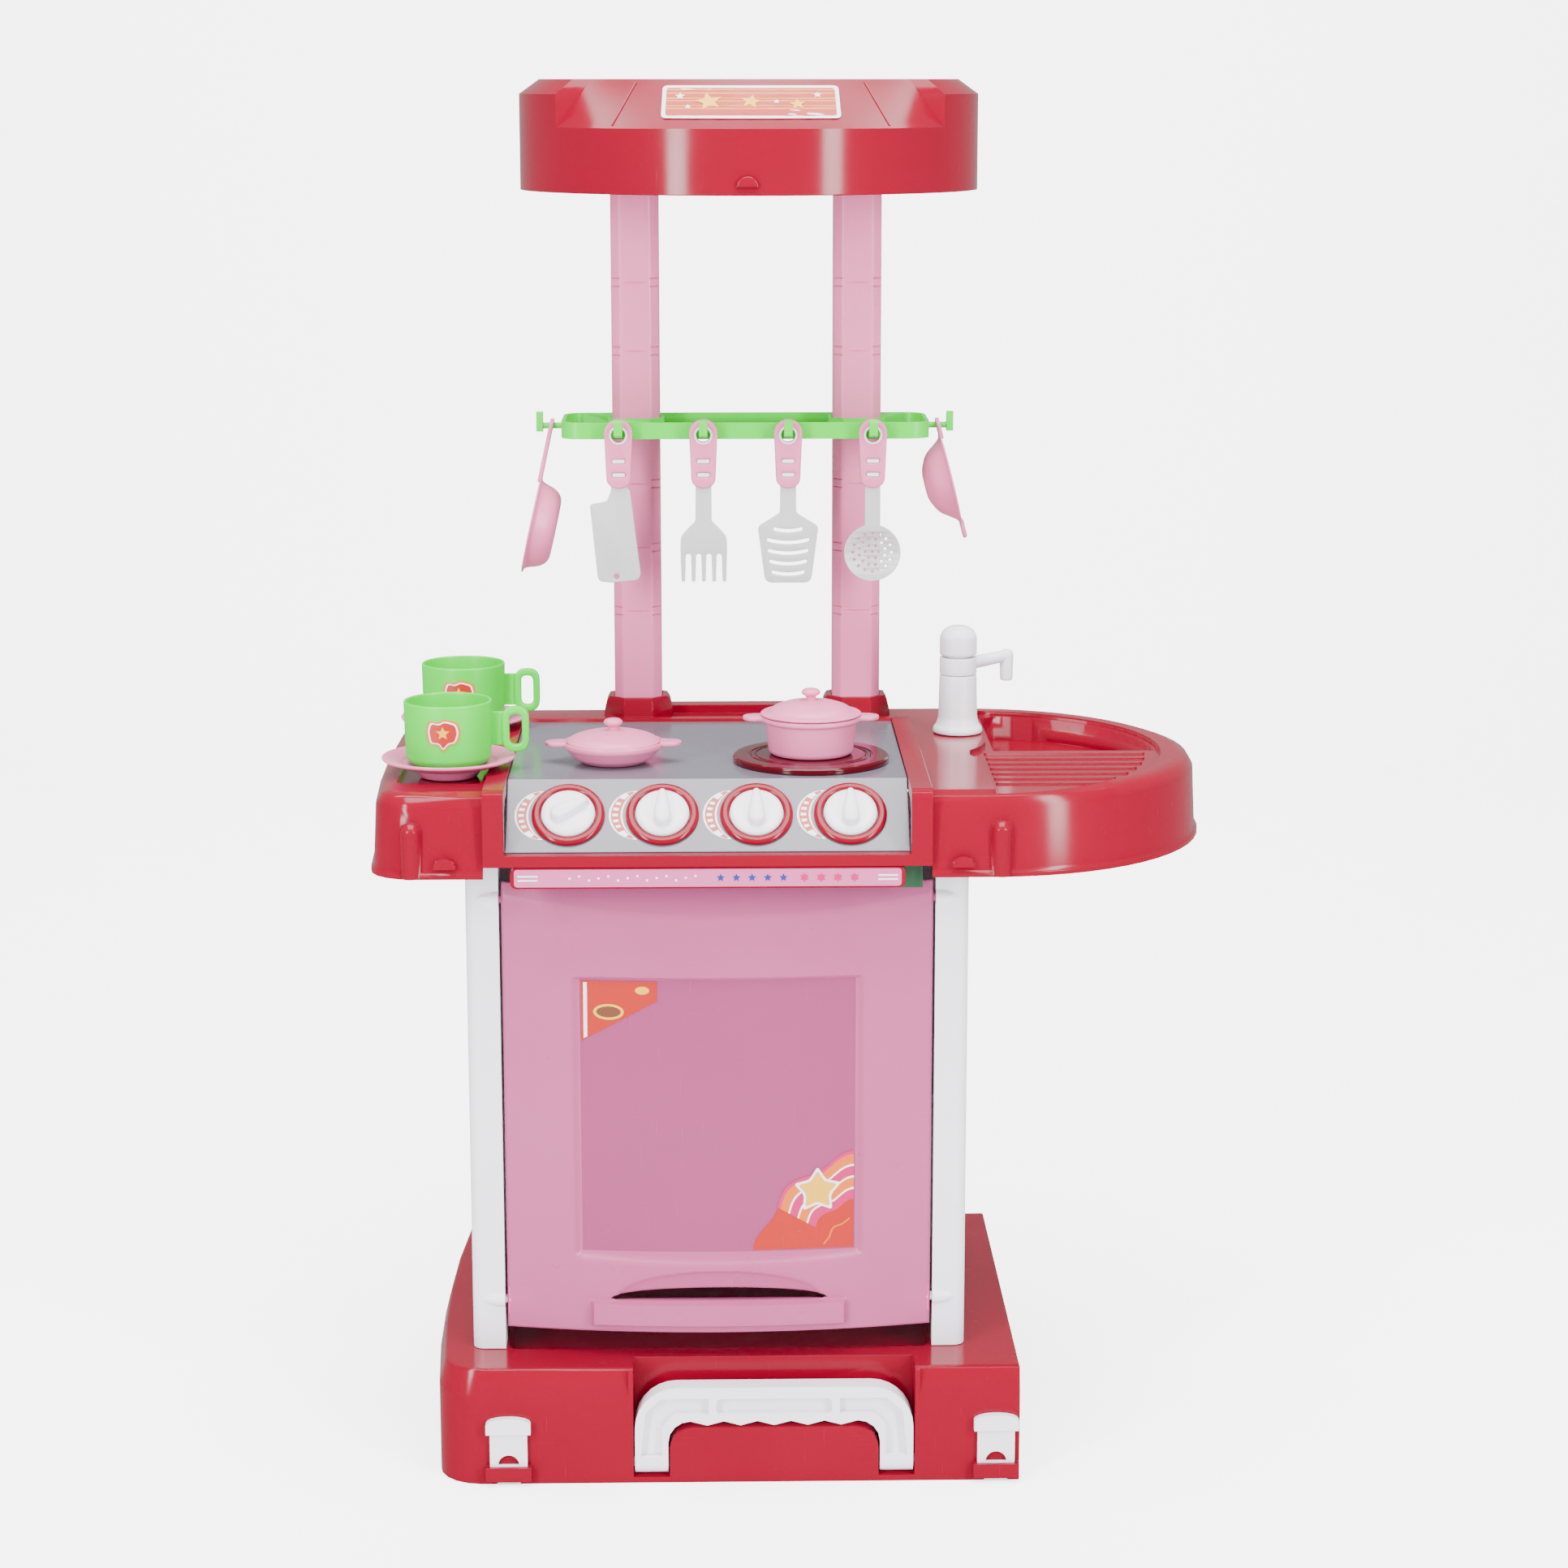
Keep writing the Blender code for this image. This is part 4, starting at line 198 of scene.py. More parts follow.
def tube(path, radius, side=(0, 1, 0), segments=20):
    """Circles square to a path that lies in one plane, whose normal is side. Each circle is
    centre + r (cos a * side + sin a * n), with n = side x direction."""
    path = np.asarray(path, float)
    ahead = np.gradient(path, axis=0)
    ahead /= np.linalg.norm(ahead, axis=1, keepdims=True)
    side = np.broadcast_to(np.asarray(side, float), ahead.shape)
    normal = np.cross(side, ahead)
    angle = np.linspace(0, 2 * np.pi, segments, endpoint=False)[None, :, None]
    reach = np.broadcast_to(np.asarray(radius, float), len(path))[:, None, None]
    circles = path[:, None] + reach * (np.cos(angle) * side[:, None] + np.sin(angle) * normal[:, None])
    return loft(circles)


def slab(outlines, thickness, edge, place):
    """A flat plate: the first outline is its edge and the others are holes. Blender fills the
    closed curves, gives them thickness and rounds both edges."""
    data = bpy.data.curves.new("slab", "CURVE")
    data.dimensions = "2D"
    data.fill_mode = "BOTH"
    data.extrude = thickness / 2 - edge
    data.bevel_depth = edge
    data.bevel_resolution = 2
    data.offset = -edge
    for outline in outlines:
        outline = np.asarray(outline, float)
        spline = data.splines.new("POLY")
        spline.points.add(len(outline) - 1)
        corners = np.column_stack([outline, np.zeros(len(outline)), np.ones(len(outline))])
        spline.points.foreach_set("co", corners.ravel())
        spline.use_cyclic_u = True
    holder = bpy.data.objects.new("slab", data)
    bpy.context.scene.collection.objects.link(holder)
    mesh = bpy.data.meshes.new_from_object(holder.evaluated_get(bpy.context.evaluated_depsgraph_get()))
    bpy.data.objects.remove(holder)
    mesh.transform(place)
    points = np.empty(len(mesh.vertices) * 3)
    mesh.vertices.foreach_get("co", points)
    faces = [list(face.vertices) for face in mesh.polygons]
    bpy.data.meshes.remove(mesh)
    return points.reshape(-1, 3), faces


def facing(centre, across, up):
    """A placement whose local X runs across, Y runs up, and Z comes out of the plate."""
    across, up = Vector(across).normalized(), Vector(up).normalized()
    axes = Matrix((across, up, across.cross(up))).transposed().to_4x4()
    return Matrix.Translation(centre) @ axes


def oval(width, height, points=48, power=2.0):
    """|x/a|^p + |y/b|^p = 1. With p = 2 it is an ellipse, and with more it squares up."""
    angle = np.linspace(0, 2 * np.pi, points, endpoint=False)
    cosine, sine = np.cos(angle), np.sin(angle)
    x = np.sign(cosine) * np.abs(cosine) ** (2 / power) * width / 2
    y = np.sign(sine) * np.abs(sine) ** (2 / power) * height / 2
    return np.column_stack([x, y])


def rectangle(width, height, radius, centre=(0, 0)):
    """A rectangle with eased corners."""
    a, b = width / 2, height / 2
    corners = np.array([(a, -b), (a, b), (-a, b), (-a, -b)]) + np.array(centre)
    return eased(corners, radius, closed=True)


# %% [markdown]
# ## From arrays to a piece
#
# A piece gets its shapes, its material, the body that it moves with and the CAD nodes that it
# stands for. Doubled points at poles are merged, and the faces are turned outward. The sharp
# edges are marked by angle, so that round walls shade smoothly and rims stay crisp.

# %% Make a piece
def mesh_of(name, shapes, close=True, smooth_below=35):
    """One mesh from several shapes. Edges that turn more than smooth_below degrees stay sharp."""
    points, faces, first = [], [], 0
    for shape_points, shape_faces in shapes:
        points.append(np.asarray(shape_points, float))
        faces += [[corner + first for corner in face] for face in shape_faces]
        first += len(shape_points)
    mesh = bpy.data.meshes.new(name)
    mesh.from_pydata(np.vstack(points).tolist(), [], faces)
    shell = bmesh.new()
    shell.from_mesh(mesh)
    bmesh.ops.remove_doubles(shell, verts=shell.verts, dist=2e-6)
    bmesh.ops.dissolve_degenerate(shell, edges=shell.edges, dist=1e-7)
    if close:
        bmesh.ops.recalc_face_normals(shell, faces=shell.faces)
    shell.to_mesh(mesh)
    shell.free()
    mesh.shade_smooth()
    mesh.set_sharp_from_angle(angle=math.radians(smooth_below))
    return mesh


def placed(name, mesh):
    """A new object at the origin that holds a mesh."""
    made = bpy.data.objects.new(name, mesh)
    bpy.context.scene.collection.objects.link(made)
    return made


def walled(name, mesh, thickness, body, cad_node):
    """A piece from an open sheet, which gets its wall inward from Solidify."""
    made = placed(name, mesh)
    wall = made.modifiers.new("wall", "SOLIDIFY")
    wall.thickness = thickness
    wall.offset = -1
    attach(made, body)
    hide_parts(cad_node)
    print(name, len(mesh.polygons), "faces")


def piece(name, shapes, material, body, cad_node=None, close=True, smooth_below=35):
    """One object from joined shapes. It rides on a body and may stand for a CAD node."""
    mesh = mesh_of(name, shapes, close, smooth_below)
    mesh.materials.append(material)
    made = placed(name, mesh)
    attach(made, body)
    if cad_node:
        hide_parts(cad_node)
    print(name, len(mesh.polygons), "faces")


# %% [markdown]
# ## Moulded plastic
#
# New plastic isn't one flat colour. The pigment drifts a little where the melt flowed, the
# mould leaves a very fine skin, and handling leaves hairline scratches that only show in the
# gloss. A slow noise shifts the colour, two stretched noises make scratches of two directions
# in the roughness, and a slow bump gives the wavy reflections of a thin wall. A Bevel node
# rounds the corners of the CAD shells for the light, since their meshes are left alone.

# %% Plastic material
def node(tree, kind, settings=None, **inputs):
    """A new node with its settings, its input values and its links."""
    made = tree.nodes.new("ShaderNode" + kind)
    for key, value in (settings or {}).items():
        setattr(made, key, value)
    for key, value in inputs.items():
        socket = made.inputs[int(key[1:])] if key[0] == "i" and key[1:].isdigit() else made.inputs[key]
        if isinstance(value, bpy.types.NodeSocket):
            tree.links.new(value, socket)
        else:
            socket.default_value = value
    return made


def noise(tree, coordinates, scale, detail=2.0, stretch=None):
    """Soft random levels on Object coordinates, stretched along one axis if asked."""
    if stretch:
        mapped = node(tree, "Mapping", Vector=coordinates)
        mapped.inputs["Scale"].default_value = stretch
        coordinates = mapped.outputs["Vector"]
    return node(tree, "TexNoise", Vector=coordinates, Scale=scale, Detail=detail).outputs[0]


def ramp(tree, level, low, high, to_low=0.0, to_high=1.0):
    """Map a level from low..high onto to_low..to_high."""
    made = node(tree, "MapRange", Value=level)
    for key, value in (("From Min", low), ("From Max", high), ("To Min", to_low), ("To Max", to_high)):
        made.inputs[key].default_value = value
    return made.outputs[0]


def maths(tree, operation, first, second):
    return node(tree, "Math", {"operation": operation}, i0=first, i1=second).outputs[0]


def plastic(name, colour, roughness, drift=0.05, grain=0.02, waves=0.03, scratches=0.25,
            rounding=0.0, alpha=1.0, scatter=0.0, mirror=0.5):
    """A Principled plastic of a base colour. Drift is how far the colour wanders, grain and
    waves are bump heights, and rounding is the Bevel node's radius in metres."""
    made = bpy.data.materials.new(name)
    made.use_nodes = True
    tree = made.node_tree
    shader = tree.nodes["Principled BSDF"]
    place = node(tree, "TexCoord").outputs["Object"]
    base = np.array(colour)
    mix = node(tree, "Mix", {"data_type": "RGBA"})
    tree.links.new(ramp(tree, noise(tree, place, 14, 3), 0.2, 0.8), mix.inputs["Factor"])
    mix.inputs[6].default_value = (*(base * (1 - drift)), 1)
    mix.inputs[7].default_value = (*np.minimum(base * (1 + drift), 1), 1)
    tree.links.new(mix.outputs[2], shader.inputs["Base Color"])
    upright = noise(tree, place, 60, 2, (30, 30, 0.8))
    sideways = noise(tree, place, 60, 2, (0.8, 30, 30))
    lines = maths(tree, "ADD", ramp(tree, upright, 0.68, 0.74), ramp(tree, sideways, 0.70, 0.76))
    smear = ramp(tree, noise(tree, place, 22, 4), 0.2, 0.8, roughness * 0.8, roughness * 1.3)
    rough = maths(tree, "ADD", smear, maths(tree, "MULTIPLY", lines, scratches * 0.5))
    tree.links.new(rough, shader.inputs["Roughness"])
    skin = node(tree, "Bump", Height=noise(tree, place, 1500, 1), Strength=grain, Distance=0.0004)
    slow = node(tree, "Bump", Height=noise(tree, place, 16, 1), Strength=waves, Distance=0.004,
                Normal=skin.outputs[0])
    if rounding:
        corner = node(tree, "Bevel", {"samples": 4}, Radius=rounding)
        tree.links.new(corner.outputs[0], skin.inputs["Normal"])
    tree.links.new(slow.outputs[0], shader.inputs["Normal"])
    shader.inputs["Alpha"].default_value = alpha
    shader.inputs["Specular IOR Level"].default_value = mirror
    shader.inputs["Subsurface Weight"].default_value = scatter
    shader.inputs["Subsurface Radius"].default_value = (0.004, 0.003, 0.003)
    shader.inputs["Subsurface Scale"].default_value = 0.6
    return made


RED, PINK, WHITE = (0.208, 0.0, 0.0135), (0.72, 0.170, 0.345), (0.84, 0.82, 0.88)
GREEN, GREY = (0.030, 0.62, 0.022), (0.125, 0.118, 0.150)
looks = {
    "red": plastic("glossy_red", RED, 0.15, waves=0.05, mirror=0.25, rounding=0.0007),
    "red_shell": plastic("glossy_red_turned", RED, 0.13, waves=0.05, mirror=0.25),
    "pink": plastic("soft_pink", PINK, 0.30, scatter=0.12, mirror=0.4),
    "white": plastic("milky_white", WHITE, 0.30, drift=0.02, scatter=0.05),
    "white_shell": plastic("milky_white_shell", WHITE, 0.28, drift=0.02, rounding=0.0006),
    # The utensil heads are white plastic. Their darker grey is painted shade, so that they stand apart from
    # the pale backdrop.
    "utensil": plastic("utensil_white_painted_shade", (0.50, 0.50, 0.515), 0.30, drift=0.02),
    "green": plastic("apple_green", GREEN, 0.33, scatter=0.10, mirror=0.35),
    "green_shell": plastic("apple_green_shell", GREEN, 0.30, rounding=0.0005, mirror=0.35),
    "grey": plastic("cool_grey", GREY, 0.18, drift=0.03, waves=0.04, rounding=0.0006),
    "lens": plastic("dark_red_lens", (0.065, 0.0, 0.004), 0.10, waves=0.02, mirror=0.25),
    "board": plastic("circuit_green", (0.012, 0.085, 0.032), 0.5, drift=0.15),
    "black": plastic("black_shell", (0.013, 0.013, 0.016), 0.45),
    "steel": plastic("screw_steel", (0.42, 0.42, 0.44), 0.35),
}
looks["steel"].node_tree.nodes["Principled BSDF"].inputs["Metallic"].default_value = 1.0
print(len(looks), "plastics")

# %% [markdown]
# ## The shells that stay
#
# The base, the worktop, the panels and the rack are already the right shape. Each gets a copy
# whose loose triangles are joined, so that flat areas shade flat and round walls shade
# smoothly. The sound and light parts inside only change their material.

# %% Shells from the CAD
FLAT_WITHIN = math.radians(0.4)


def shell(name, look, body, slot, smooth_below=32):
    """A copy of a CAD node with its loose triangles joined, flat areas made whole, round walls
    shaded smooth and real edges left sharp."""
    mesh = cad_nodes[name].data.copy()
    joined = bmesh.new()
    joined.from_mesh(mesh)
    bmesh.ops.remove_doubles(joined, verts=joined.verts, dist=1e-5)
    bmesh.ops.dissolve_limit(joined, angle_limit=FLAT_WITHIN, verts=joined.verts, edges=joined.edges)
    joined.to_mesh(mesh)
    joined.free()
    mesh.shade_smooth()
    mesh.set_sharp_from_angle(angle=math.radians(smooth_below))
    mesh.materials.clear()
    mesh.materials.append(looks[look])
    made = placed(name + "_shell", mesh)
    even = made.modifiers.new("even_shading", "WEIGHTED_NORMAL")
    even.keep_sharp = True
    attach(made, body)
    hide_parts(name)
    print(made.name, len(mesh.polygons), "faces")


for name in ("base_shell", "worktop_shell", "front_bar"):
    shell(name, "red", "kitchen", "red_plastic")
for name in ("side_panel_left", "side_panel_right", "back_sheet_lower", "back_sheet_upper", "oven_shelf"):
    shell(name, "white_shell", "kitchen", "white_plastic")
shell("carry_handle", "white_shell", "handle", "white_plastic")
for side in ("left", "right"):
    shell("latch_" + side, "white_shell", "latch_" + side[0], "white_plastic")
shell("utensil_rack", "green_shell", "kitchen", "green_plastic")
shell("cooktop_panel", "grey", "kitchen", "grey_plastic")
kept = {
    "board": ["lamp_board", "sound_board"],
    "black": ["speaker", "battery_box", "battery_cover"],
    "steel": ["battery_screw"],
    "white": ["burner_lamp"],
}
for look, names in kept.items():
    for name in names:
        cad_nodes[name].data.materials.clear()
        cad_nodes[name].data.materials.append(looks[look])

# %% [markdown]
# ## Floor
#
# A sheet runs back under the toy and curves up behind it. To the camera alone it glows a
# little, so that it stays nearly white without lighting the toy.

# %% Floor
FLOOR_GLOW = 3.0


def sweep():
    """A sheet that lies flat in front and curves up behind: a quarter circle joins the two."""
    front, turn_at, radius, top, half = -4.0, 1.6, 1.2, 5.0, 5.0
    angle = np.linspace(0, np.pi / 2, 25)
    y = np.concatenate([[front], turn_at + radius * np.sin(angle), [turn_at + radius]])
    z = np.concatenate([[0], radius * (1 - np.cos(angle)), [top]]) - 0.0002
    x = np.linspace(-half, half, 3)
    points = np.stack(np.broadcast_arrays(x[None], y[:, None], z[:, None]), -1).reshape(-1, 3)
    return points, grid_faces(len(y), len(x))


floor_mesh = mesh_of("floor", [sweep()], close=False)
floor_look = plastic("pale_floor", (0.93, 0.93, 0.93), 0.6, drift=0.003, scratches=0, mirror=0.2)
floor_mesh.materials.append(floor_look)
tree = floor_look.node_tree
floor_seen = tree.nodes.new("ShaderNodeLightPath")
floor_glow = maths(tree, "MULTIPLY", floor_seen.outputs["Is Camera Ray"], FLOOR_GLOW)
tree.links.new(floor_glow, tree.nodes["Principled BSDF"].inputs["Emission Strength"])
tree.nodes["Principled BSDF"].inputs["Emission Color"].default_value = (1, 1, 1, 1)
floor = placed("floor", floor_mesh)
floor.visible_glossy = False
print("floor with a glow of", FLOOR_GLOW)

# %% [markdown]
# ## Cups and saucers
#
# A moulded cup is one turned profile that goes up the outside, over a thin rim and down the
# inside. Its handle is a flat ring on a thin web, so it is a plate with a hole in it. A saucer
# is a turned profile with a foot and a lifted rim.

# %% Cups and saucers
def middle_of(name):
    low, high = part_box(name)
    return (low + high) / 2, low, high


def cup(place):
    """A turned body with the handle's ring and web. It returns centre, radius and height."""
    middle, low, high = middle_of("cup_" + place)
    radius, height = (high.y - low.y) / 2, high.z - low.z
    centre = (low.x + radius, middle.y, low.z)
    wall, foot = 0.0014, 0.0006
    profile = eased([(0, foot), (radius - 0.0045, foot), (radius - 0.0042, 0), (radius - 0.0030, 0),
                     (radius - 0.0006, 0.0030), (radius, height), (radius - wall, height),
                     (radius - wall - 0.0006, 0.0030), (0, wall + foot)], 0.0011)
    web_low, web_high = 0.0085, 0.0250
    ring_left = centre[0] + radius + 0.0050
    face = facing((0, centre[1], low.z), (1, 0, 0), (0, 0, 1))
    ring_middle = (ring_left + 0.0065, (web_low + web_high) / 2 - 0.0004)
    ring_height = web_high - web_low + 0.0060
    ring = slab([rectangle(0.0130, ring_height, 0.0062, ring_middle),
                 rectangle(0.0062, ring_height - 0.0070, 0.0030, ring_middle)], 0.0048, 0.0009, face)
    web = slab([rectangle(0.0085, web_high - web_low, 0.0004,
                          (ring_left - 0.0015, (web_low + web_high) / 2))], 0.0018, 0.0003, face)
    piece("cup_" + place + "_body", [turned(profile, centre), ring, web], looks["green"],
          place + "_cup", "cup_" + place)
    return centre, radius, height


def saucer(place):
    """A turned dish with a foot ring, a sunk middle and a lifted rim."""
    middle, low, high = middle_of("saucer_" + place)
    radius, height = (high.y - low.y) / 2, high.z - low.z
    well, plate = 0.0230, 0.0052
    profile = eased([(0, plate), (0.0120, plate), (0.0124, 0), (0.0138, 0), (0.0170, plate - 0.0004),
                     (well, plate + 0.0004), (radius, height - 0.0014), (radius, height),
                     (radius - 0.0014, height), (well + 0.0008, plate + 0.0024),
                     (well, plate + 0.0016), (0, plate + 0.0016)], 0.0012)
    piece("saucer_" + place + "_dish", [turned(profile, (middle.x, middle.y, low.z))], looks["pink"],
          place + "_saucer", "saucer_" + place)


PLACES = ("front", "back")
cups = {place: cup(place) for place in PLACES}
for place in PLACES:
    saucer(place)

# %% [markdown]
# ## Pot, pan and lids
#
# Both have two flat ear handles level with the rim and a domed lid with a button knob. The
# profile carries all of that except the ears, which are plates with rounded edges.

# %% Pot and pan
def ears(centre, rim, tip, top, half=0.0060):
    """Two flat handles as one plate each: a strip that ends in a half circle."""
    shapes = []
    for way in (-1, 1):
        start, end = rim - 0.0018, tip - half
        turn = np.linspace(-np.pi / 2, np.pi / 2, 17)
        outline = np.vstack([[(start, -half * 1.15)],
                             np.column_stack([end + half * np.cos(turn), half * np.sin(turn)]),
                             [(start, half * 1.15)]])
        shapes.append(slab([outline], 0.0022, 0.0007,
                           facing((centre[0], centre[1], top - 0.0011), (way, 0, 0), (0, way, 0))))
    return shapes


def cookware(name, body, profile, reach):
    """A turned pan or pot with two ears. Reach is how far its profile's corners are eased."""
    middle, low, high = middle_of(name)
    centre = (middle.x, middle.y, low.z)
    rim, height = (high.y - low.y) / 2, high.z - low.z
    shapes = [turned(eased(profile(rim, height), reach), centre)]
    piece(name + "_body", shapes + ears(centre, rim, (high.x - low.x) / 2, high.z), looks["pink"],
          body, name)


def pan_profile(rim, height):
    ledge = height - 0.0014
    return [(0, 0.0004), (0.0130, 0.0004), (0.0138, 0), (0.0152, 0), (0.0195, 0.0024),
            (0.0232, 0.0066), (rim, 0.0080), (rim, height), (rim - 0.0010, height),
            (rim - 0.0012, ledge), (0.0216, ledge), (0.0185, 0.0038), (0.0146, 0.0018), (0, 0.0018)]


def pot_profile(rim, height):
    wall = rim - 0.0022
    return [(0, 0.0004), (0.0180, 0.0004), (0.0185, 0), (0.0197, 0), (0.0211, 0.0016),
            (wall, height - 0.0030), (rim, height - 0.0024), (rim, height),
            (wall - 0.0016, height), (0.0196, 0.0024), (0.0190, 0.0018), (0, 0.0018)]


def lid(name, body, dome):
    """A turned lid: a flat rim, a dome of the given radius and a button knob on top."""
    middle, low, high = middle_of(name)
    rim, height = (high.y - low.y) / 2, high.z - low.z - 0.0062
    profile = [(0, height - 0.0015), (dome * 0.53, height * 0.93 - 0.0015),
               (dome * 0.82, height * 0.62 - 0.0013), (dome - 0.0018, 0), (rim, 0),
               (rim, 0.0014), (dome + 0.0006, 0.0018), (dome - 0.0004, 0.0030),
               (dome * 0.86, height * 0.64), (dome * 0.55, height * 0.92), (0.0034, height),
               (0.0024, height + 0.0012), (0.0026, height + 0.0022), (0.0046, height + 0.0032),
               (0.0047, height + 0.0048), (0.0030, height + 0.0060), (0, height + 0.0062)]
    centre = (middle.x, middle.y, low.z)
    piece(name + "_dome", [turned(eased(profile, 0.0016), centre)], looks["pink"], body, name)


cookware("pan", "frying_pan", pan_profile, 0.0012)
cookware("pot", "stock_pot", pot_profile, 0.0010)
lid("pan_lid", "frying_pan_lid", 0.0215)
lid("pot_lid", "stock_pot_lid", 0.0205)

# %% [markdown]
# ## Pans on the rack's arms
#
# Each hangs by a hole in its handle and tips outward, so its bowl is turned about a leaning
# axis. The frame's Z looks out of the bowl and its Y runs up the handle.

# %% Hanging pans
def hanging(name, body, way, lean, radius, depth, floor_radius, reach, tail):
    """A turned bowl with a holed handle. Way is -1 on the left arm and 1 on the right, and reach
    runs from the bowl's middle to the hole. A tail is a second, plain handle opposite."""
    low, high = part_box("utensil_rack")
    arm_z = low.z + 0.0045
    hook_x = (low.x + 0.0075) if way < 0 else (high.x - 0.0075)
    up = Vector((-way * math.sin(lean), 0, math.cos(lean)))
    out = Vector((way * math.cos(lean), 0, math.sin(lean)))
    across = up.cross(out)
    axes = Matrix((across, up, out)).transposed()
    arm_y = (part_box("hanging_pan")[0].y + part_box("hanging_pan")[1].y) / 2
    hole_radius = 0.0036
    hole = Vector((hook_x, arm_y, arm_z - 0.0014))
    centre = hole - axes @ Vector((0, reach, 0))
    waist = (radius + floor_radius) / 2
    profile = eased([(0, -depth + 0.0003), (floor_radius, -depth + 0.0003), (waist, -depth * 0.72),
                     (radius - 0.0012, -0.0012), (radius + 0.0012, -0.0011), (radius + 0.0012, 0),
                     (radius - 0.0015, 0), (waist - 0.0015, -depth * 0.72 + 0.0006),
                     (floor_radius - 0.0008, -depth + 0.0018), (0, -depth + 0.0018)], 0.0030)
    shapes = [turned(profile, centre, axes)]
    half = 0.0052
    turn = np.linspace(0, np.pi, 21)
    for sign in ((1, -1) if tail else (1,)):
        tip = reach if sign > 0 else reach - 0.0010
        outline = np.vstack([[(half * 1.1, radius * 0.95)],
                             np.column_stack([half * np.cos(turn), tip + half * np.sin(turn)]),
                             [(-half * 1.1, radius * 0.95)]])
        holes = [oval(2 * hole_radius, 2 * hole_radius) + np.array([0, reach])] if sign > 0 else []
        place = facing(centre + axes @ Vector((0, 0, 0.0001)), sign * across, sign * up)
        shapes.append(slab([outline] + holes, 0.0022, 0.0006, place))
    piece(name + "_body", shapes, looks["pink"], body, name)


hanging("hanging_pan", "small_pan", -1, math.radians(12.5), 0.0243, 0.0135, 0.0165, 0.0515, False)
hanging("hanging_wok", "small_wok", 1, math.radians(14), 0.0233, 0.0145, 0.0075, 0.0278, True)

# %% [markdown]
# ## Burner, bezels and knobs
#
# The burner is one clear red disc with rings pressed into it. Each knob is a shallow button
# with a finger ridge that is fat below and pointed above, and it turns inside a red bezel. All
# of them stand on the sloping face, so they share its leaning frame.

# %% Burner, bezels and knobs
SLOPE_RUN, SLOPE_DROP = 0.0300, 0.0295
SLOPE = math.atan2(SLOPE_DROP, SLOPE_RUN)
leaning = Matrix.Rotation(SLOPE, 3, "X")
cook_low, cook_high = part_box("cooktop_panel")
front_y, slope_foot = cook_low.y, cook_high.z - SLOPE_DROP


def slope_point(across, up, lift=0.0):
    """A point on the slope: across in world X, up along the slope from its middle."""
    middle = Vector((0, front_y + SLOPE_RUN / 2, slope_foot + SLOPE_DROP / 2))
    return middle + leaning @ Vector((0, up, lift)) + Vector((across, 0, 0))


def burner():
    """A turned disc with a step below and three fine grooves in its top."""
    middle, low, high = middle_of("burner_lens")
    radius, top, foot = (high.y - low.y) / 2, high.z - low.z, high.z - low.z - 0.0032
    groove = 0.0007
    profile = [(0, 0), (0.0300, 0), (0.0300, foot), (radius, foot), (radius, top - 0.0010),
               (radius - 0.0010, top), (0.0318, top)]
    for ring in (0.0310, 0.0285, 0.0150):
        profile += [(ring, top), (ring - 0.0004, top - groove), (ring - 0.0011, top - groove),
                    (ring - 0.0015, top)]
    profile.append((0, top))
    piece("burner_disc", [turned(eased(profile, 0.0003), (middle.x, middle.y, low.z), segments=144)],
          looks["lens"], "kitchen", "burner_lens")


def bezel(index):
    """A flat ring round a knob, turned on the slope. It returns its centre."""
    middle = middle_of(f"knob_bezel_{index}")[0]
    outer, inner, height = 0.0178, 0.0133, 0.0022
    centre = slope_point(middle.x, 0, 0.0003)
    profile = eased([(inner, 0), (outer, 0), (outer - 0.0004, height * 0.6), (outer - 0.0016, height),
                     (inner + 0.0010, height), (inner, height * 0.7), (inner, 0)], 0.0007)
    piece(f"knob_ring_{index}", [turned(profile, centre, leaning)], looks["red_shell"], "kitchen",
          f"knob_bezel_{index}")
    return centre


def knob(index, centre, turn, body):
    """A button with a domed face, and a ridge whose rings shrink as they rise."""
    radius, rise = 0.0129, 0.0036
    axes = leaning @ Matrix.Rotation(-math.radians(turn), 3, "Z")
    button = eased([(0, -0.0100), (0.0030, -0.0100), (0.0030, 0.0002), (radius, 0.0002),
                    (radius, rise - 0.0012), (radius - 0.0016, rise), (0, rise + 0.0010)], 0.0009)
    low, high, wide, narrow = -0.0095, 0.0112, 0.0046, 0.0021
    round_end = np.linspace(np.pi, 2 * np.pi, 13)
    tip = np.linspace(0.1 * np.pi, 0.9 * np.pi, 9)
    outline = np.vstack([np.column_stack([wide * np.cos(round_end), low + wide + wide * np.sin(round_end)]),
                         [(wide * 0.88, 0.0010)],
                         np.column_stack([narrow * np.cos(tip), high - narrow + narrow * np.sin(tip)]),
                         [(-wide * 0.88, 0.0010)]])
    outline = eased(outline, 0.0040, closed=True, steps=2)
    lift = np.linspace(0, 1, 9)
    shrink = 1 - 0.46 * (1 - np.sqrt(np.clip(1 - lift ** 2, 0, 1)))
    crest = 1 - 0.22 * (1 - np.sqrt(np.clip(1 - lift ** 2, 0, 1)))
    height = rise - 0.0010 + lift * 0.0062
    rings = np.stack([outline[None, :, 0] * shrink[:, None], outline[None, :, 1] * crest[:, None],
                      np.broadcast_to(height[:, None], (9, len(outline)))], -1)
    rings = rings @ np.array(axes).T + np.array(centre)
    piece(f"knob_{index}_button", [turned(button, centre, axes), loft(rings)], looks["white"], body,
          f"knob_{index}", smooth_below=50)


burner()
knob_centres = [bezel(index) for index in range(1, 5)]
for index, (centre, body) in enumerate(zip(knob_centres, ("knob_a", "knob_b", "knob_c", "knob_d"))):
    knob(index + 1, centre, 62 if index == 0 else 0, body)

# %% [markdown]
# ## Faucet
#
# A plain column flares into its foot. The spout is a collar that turns on the column's neck,
# and a domed cap keeps it on.

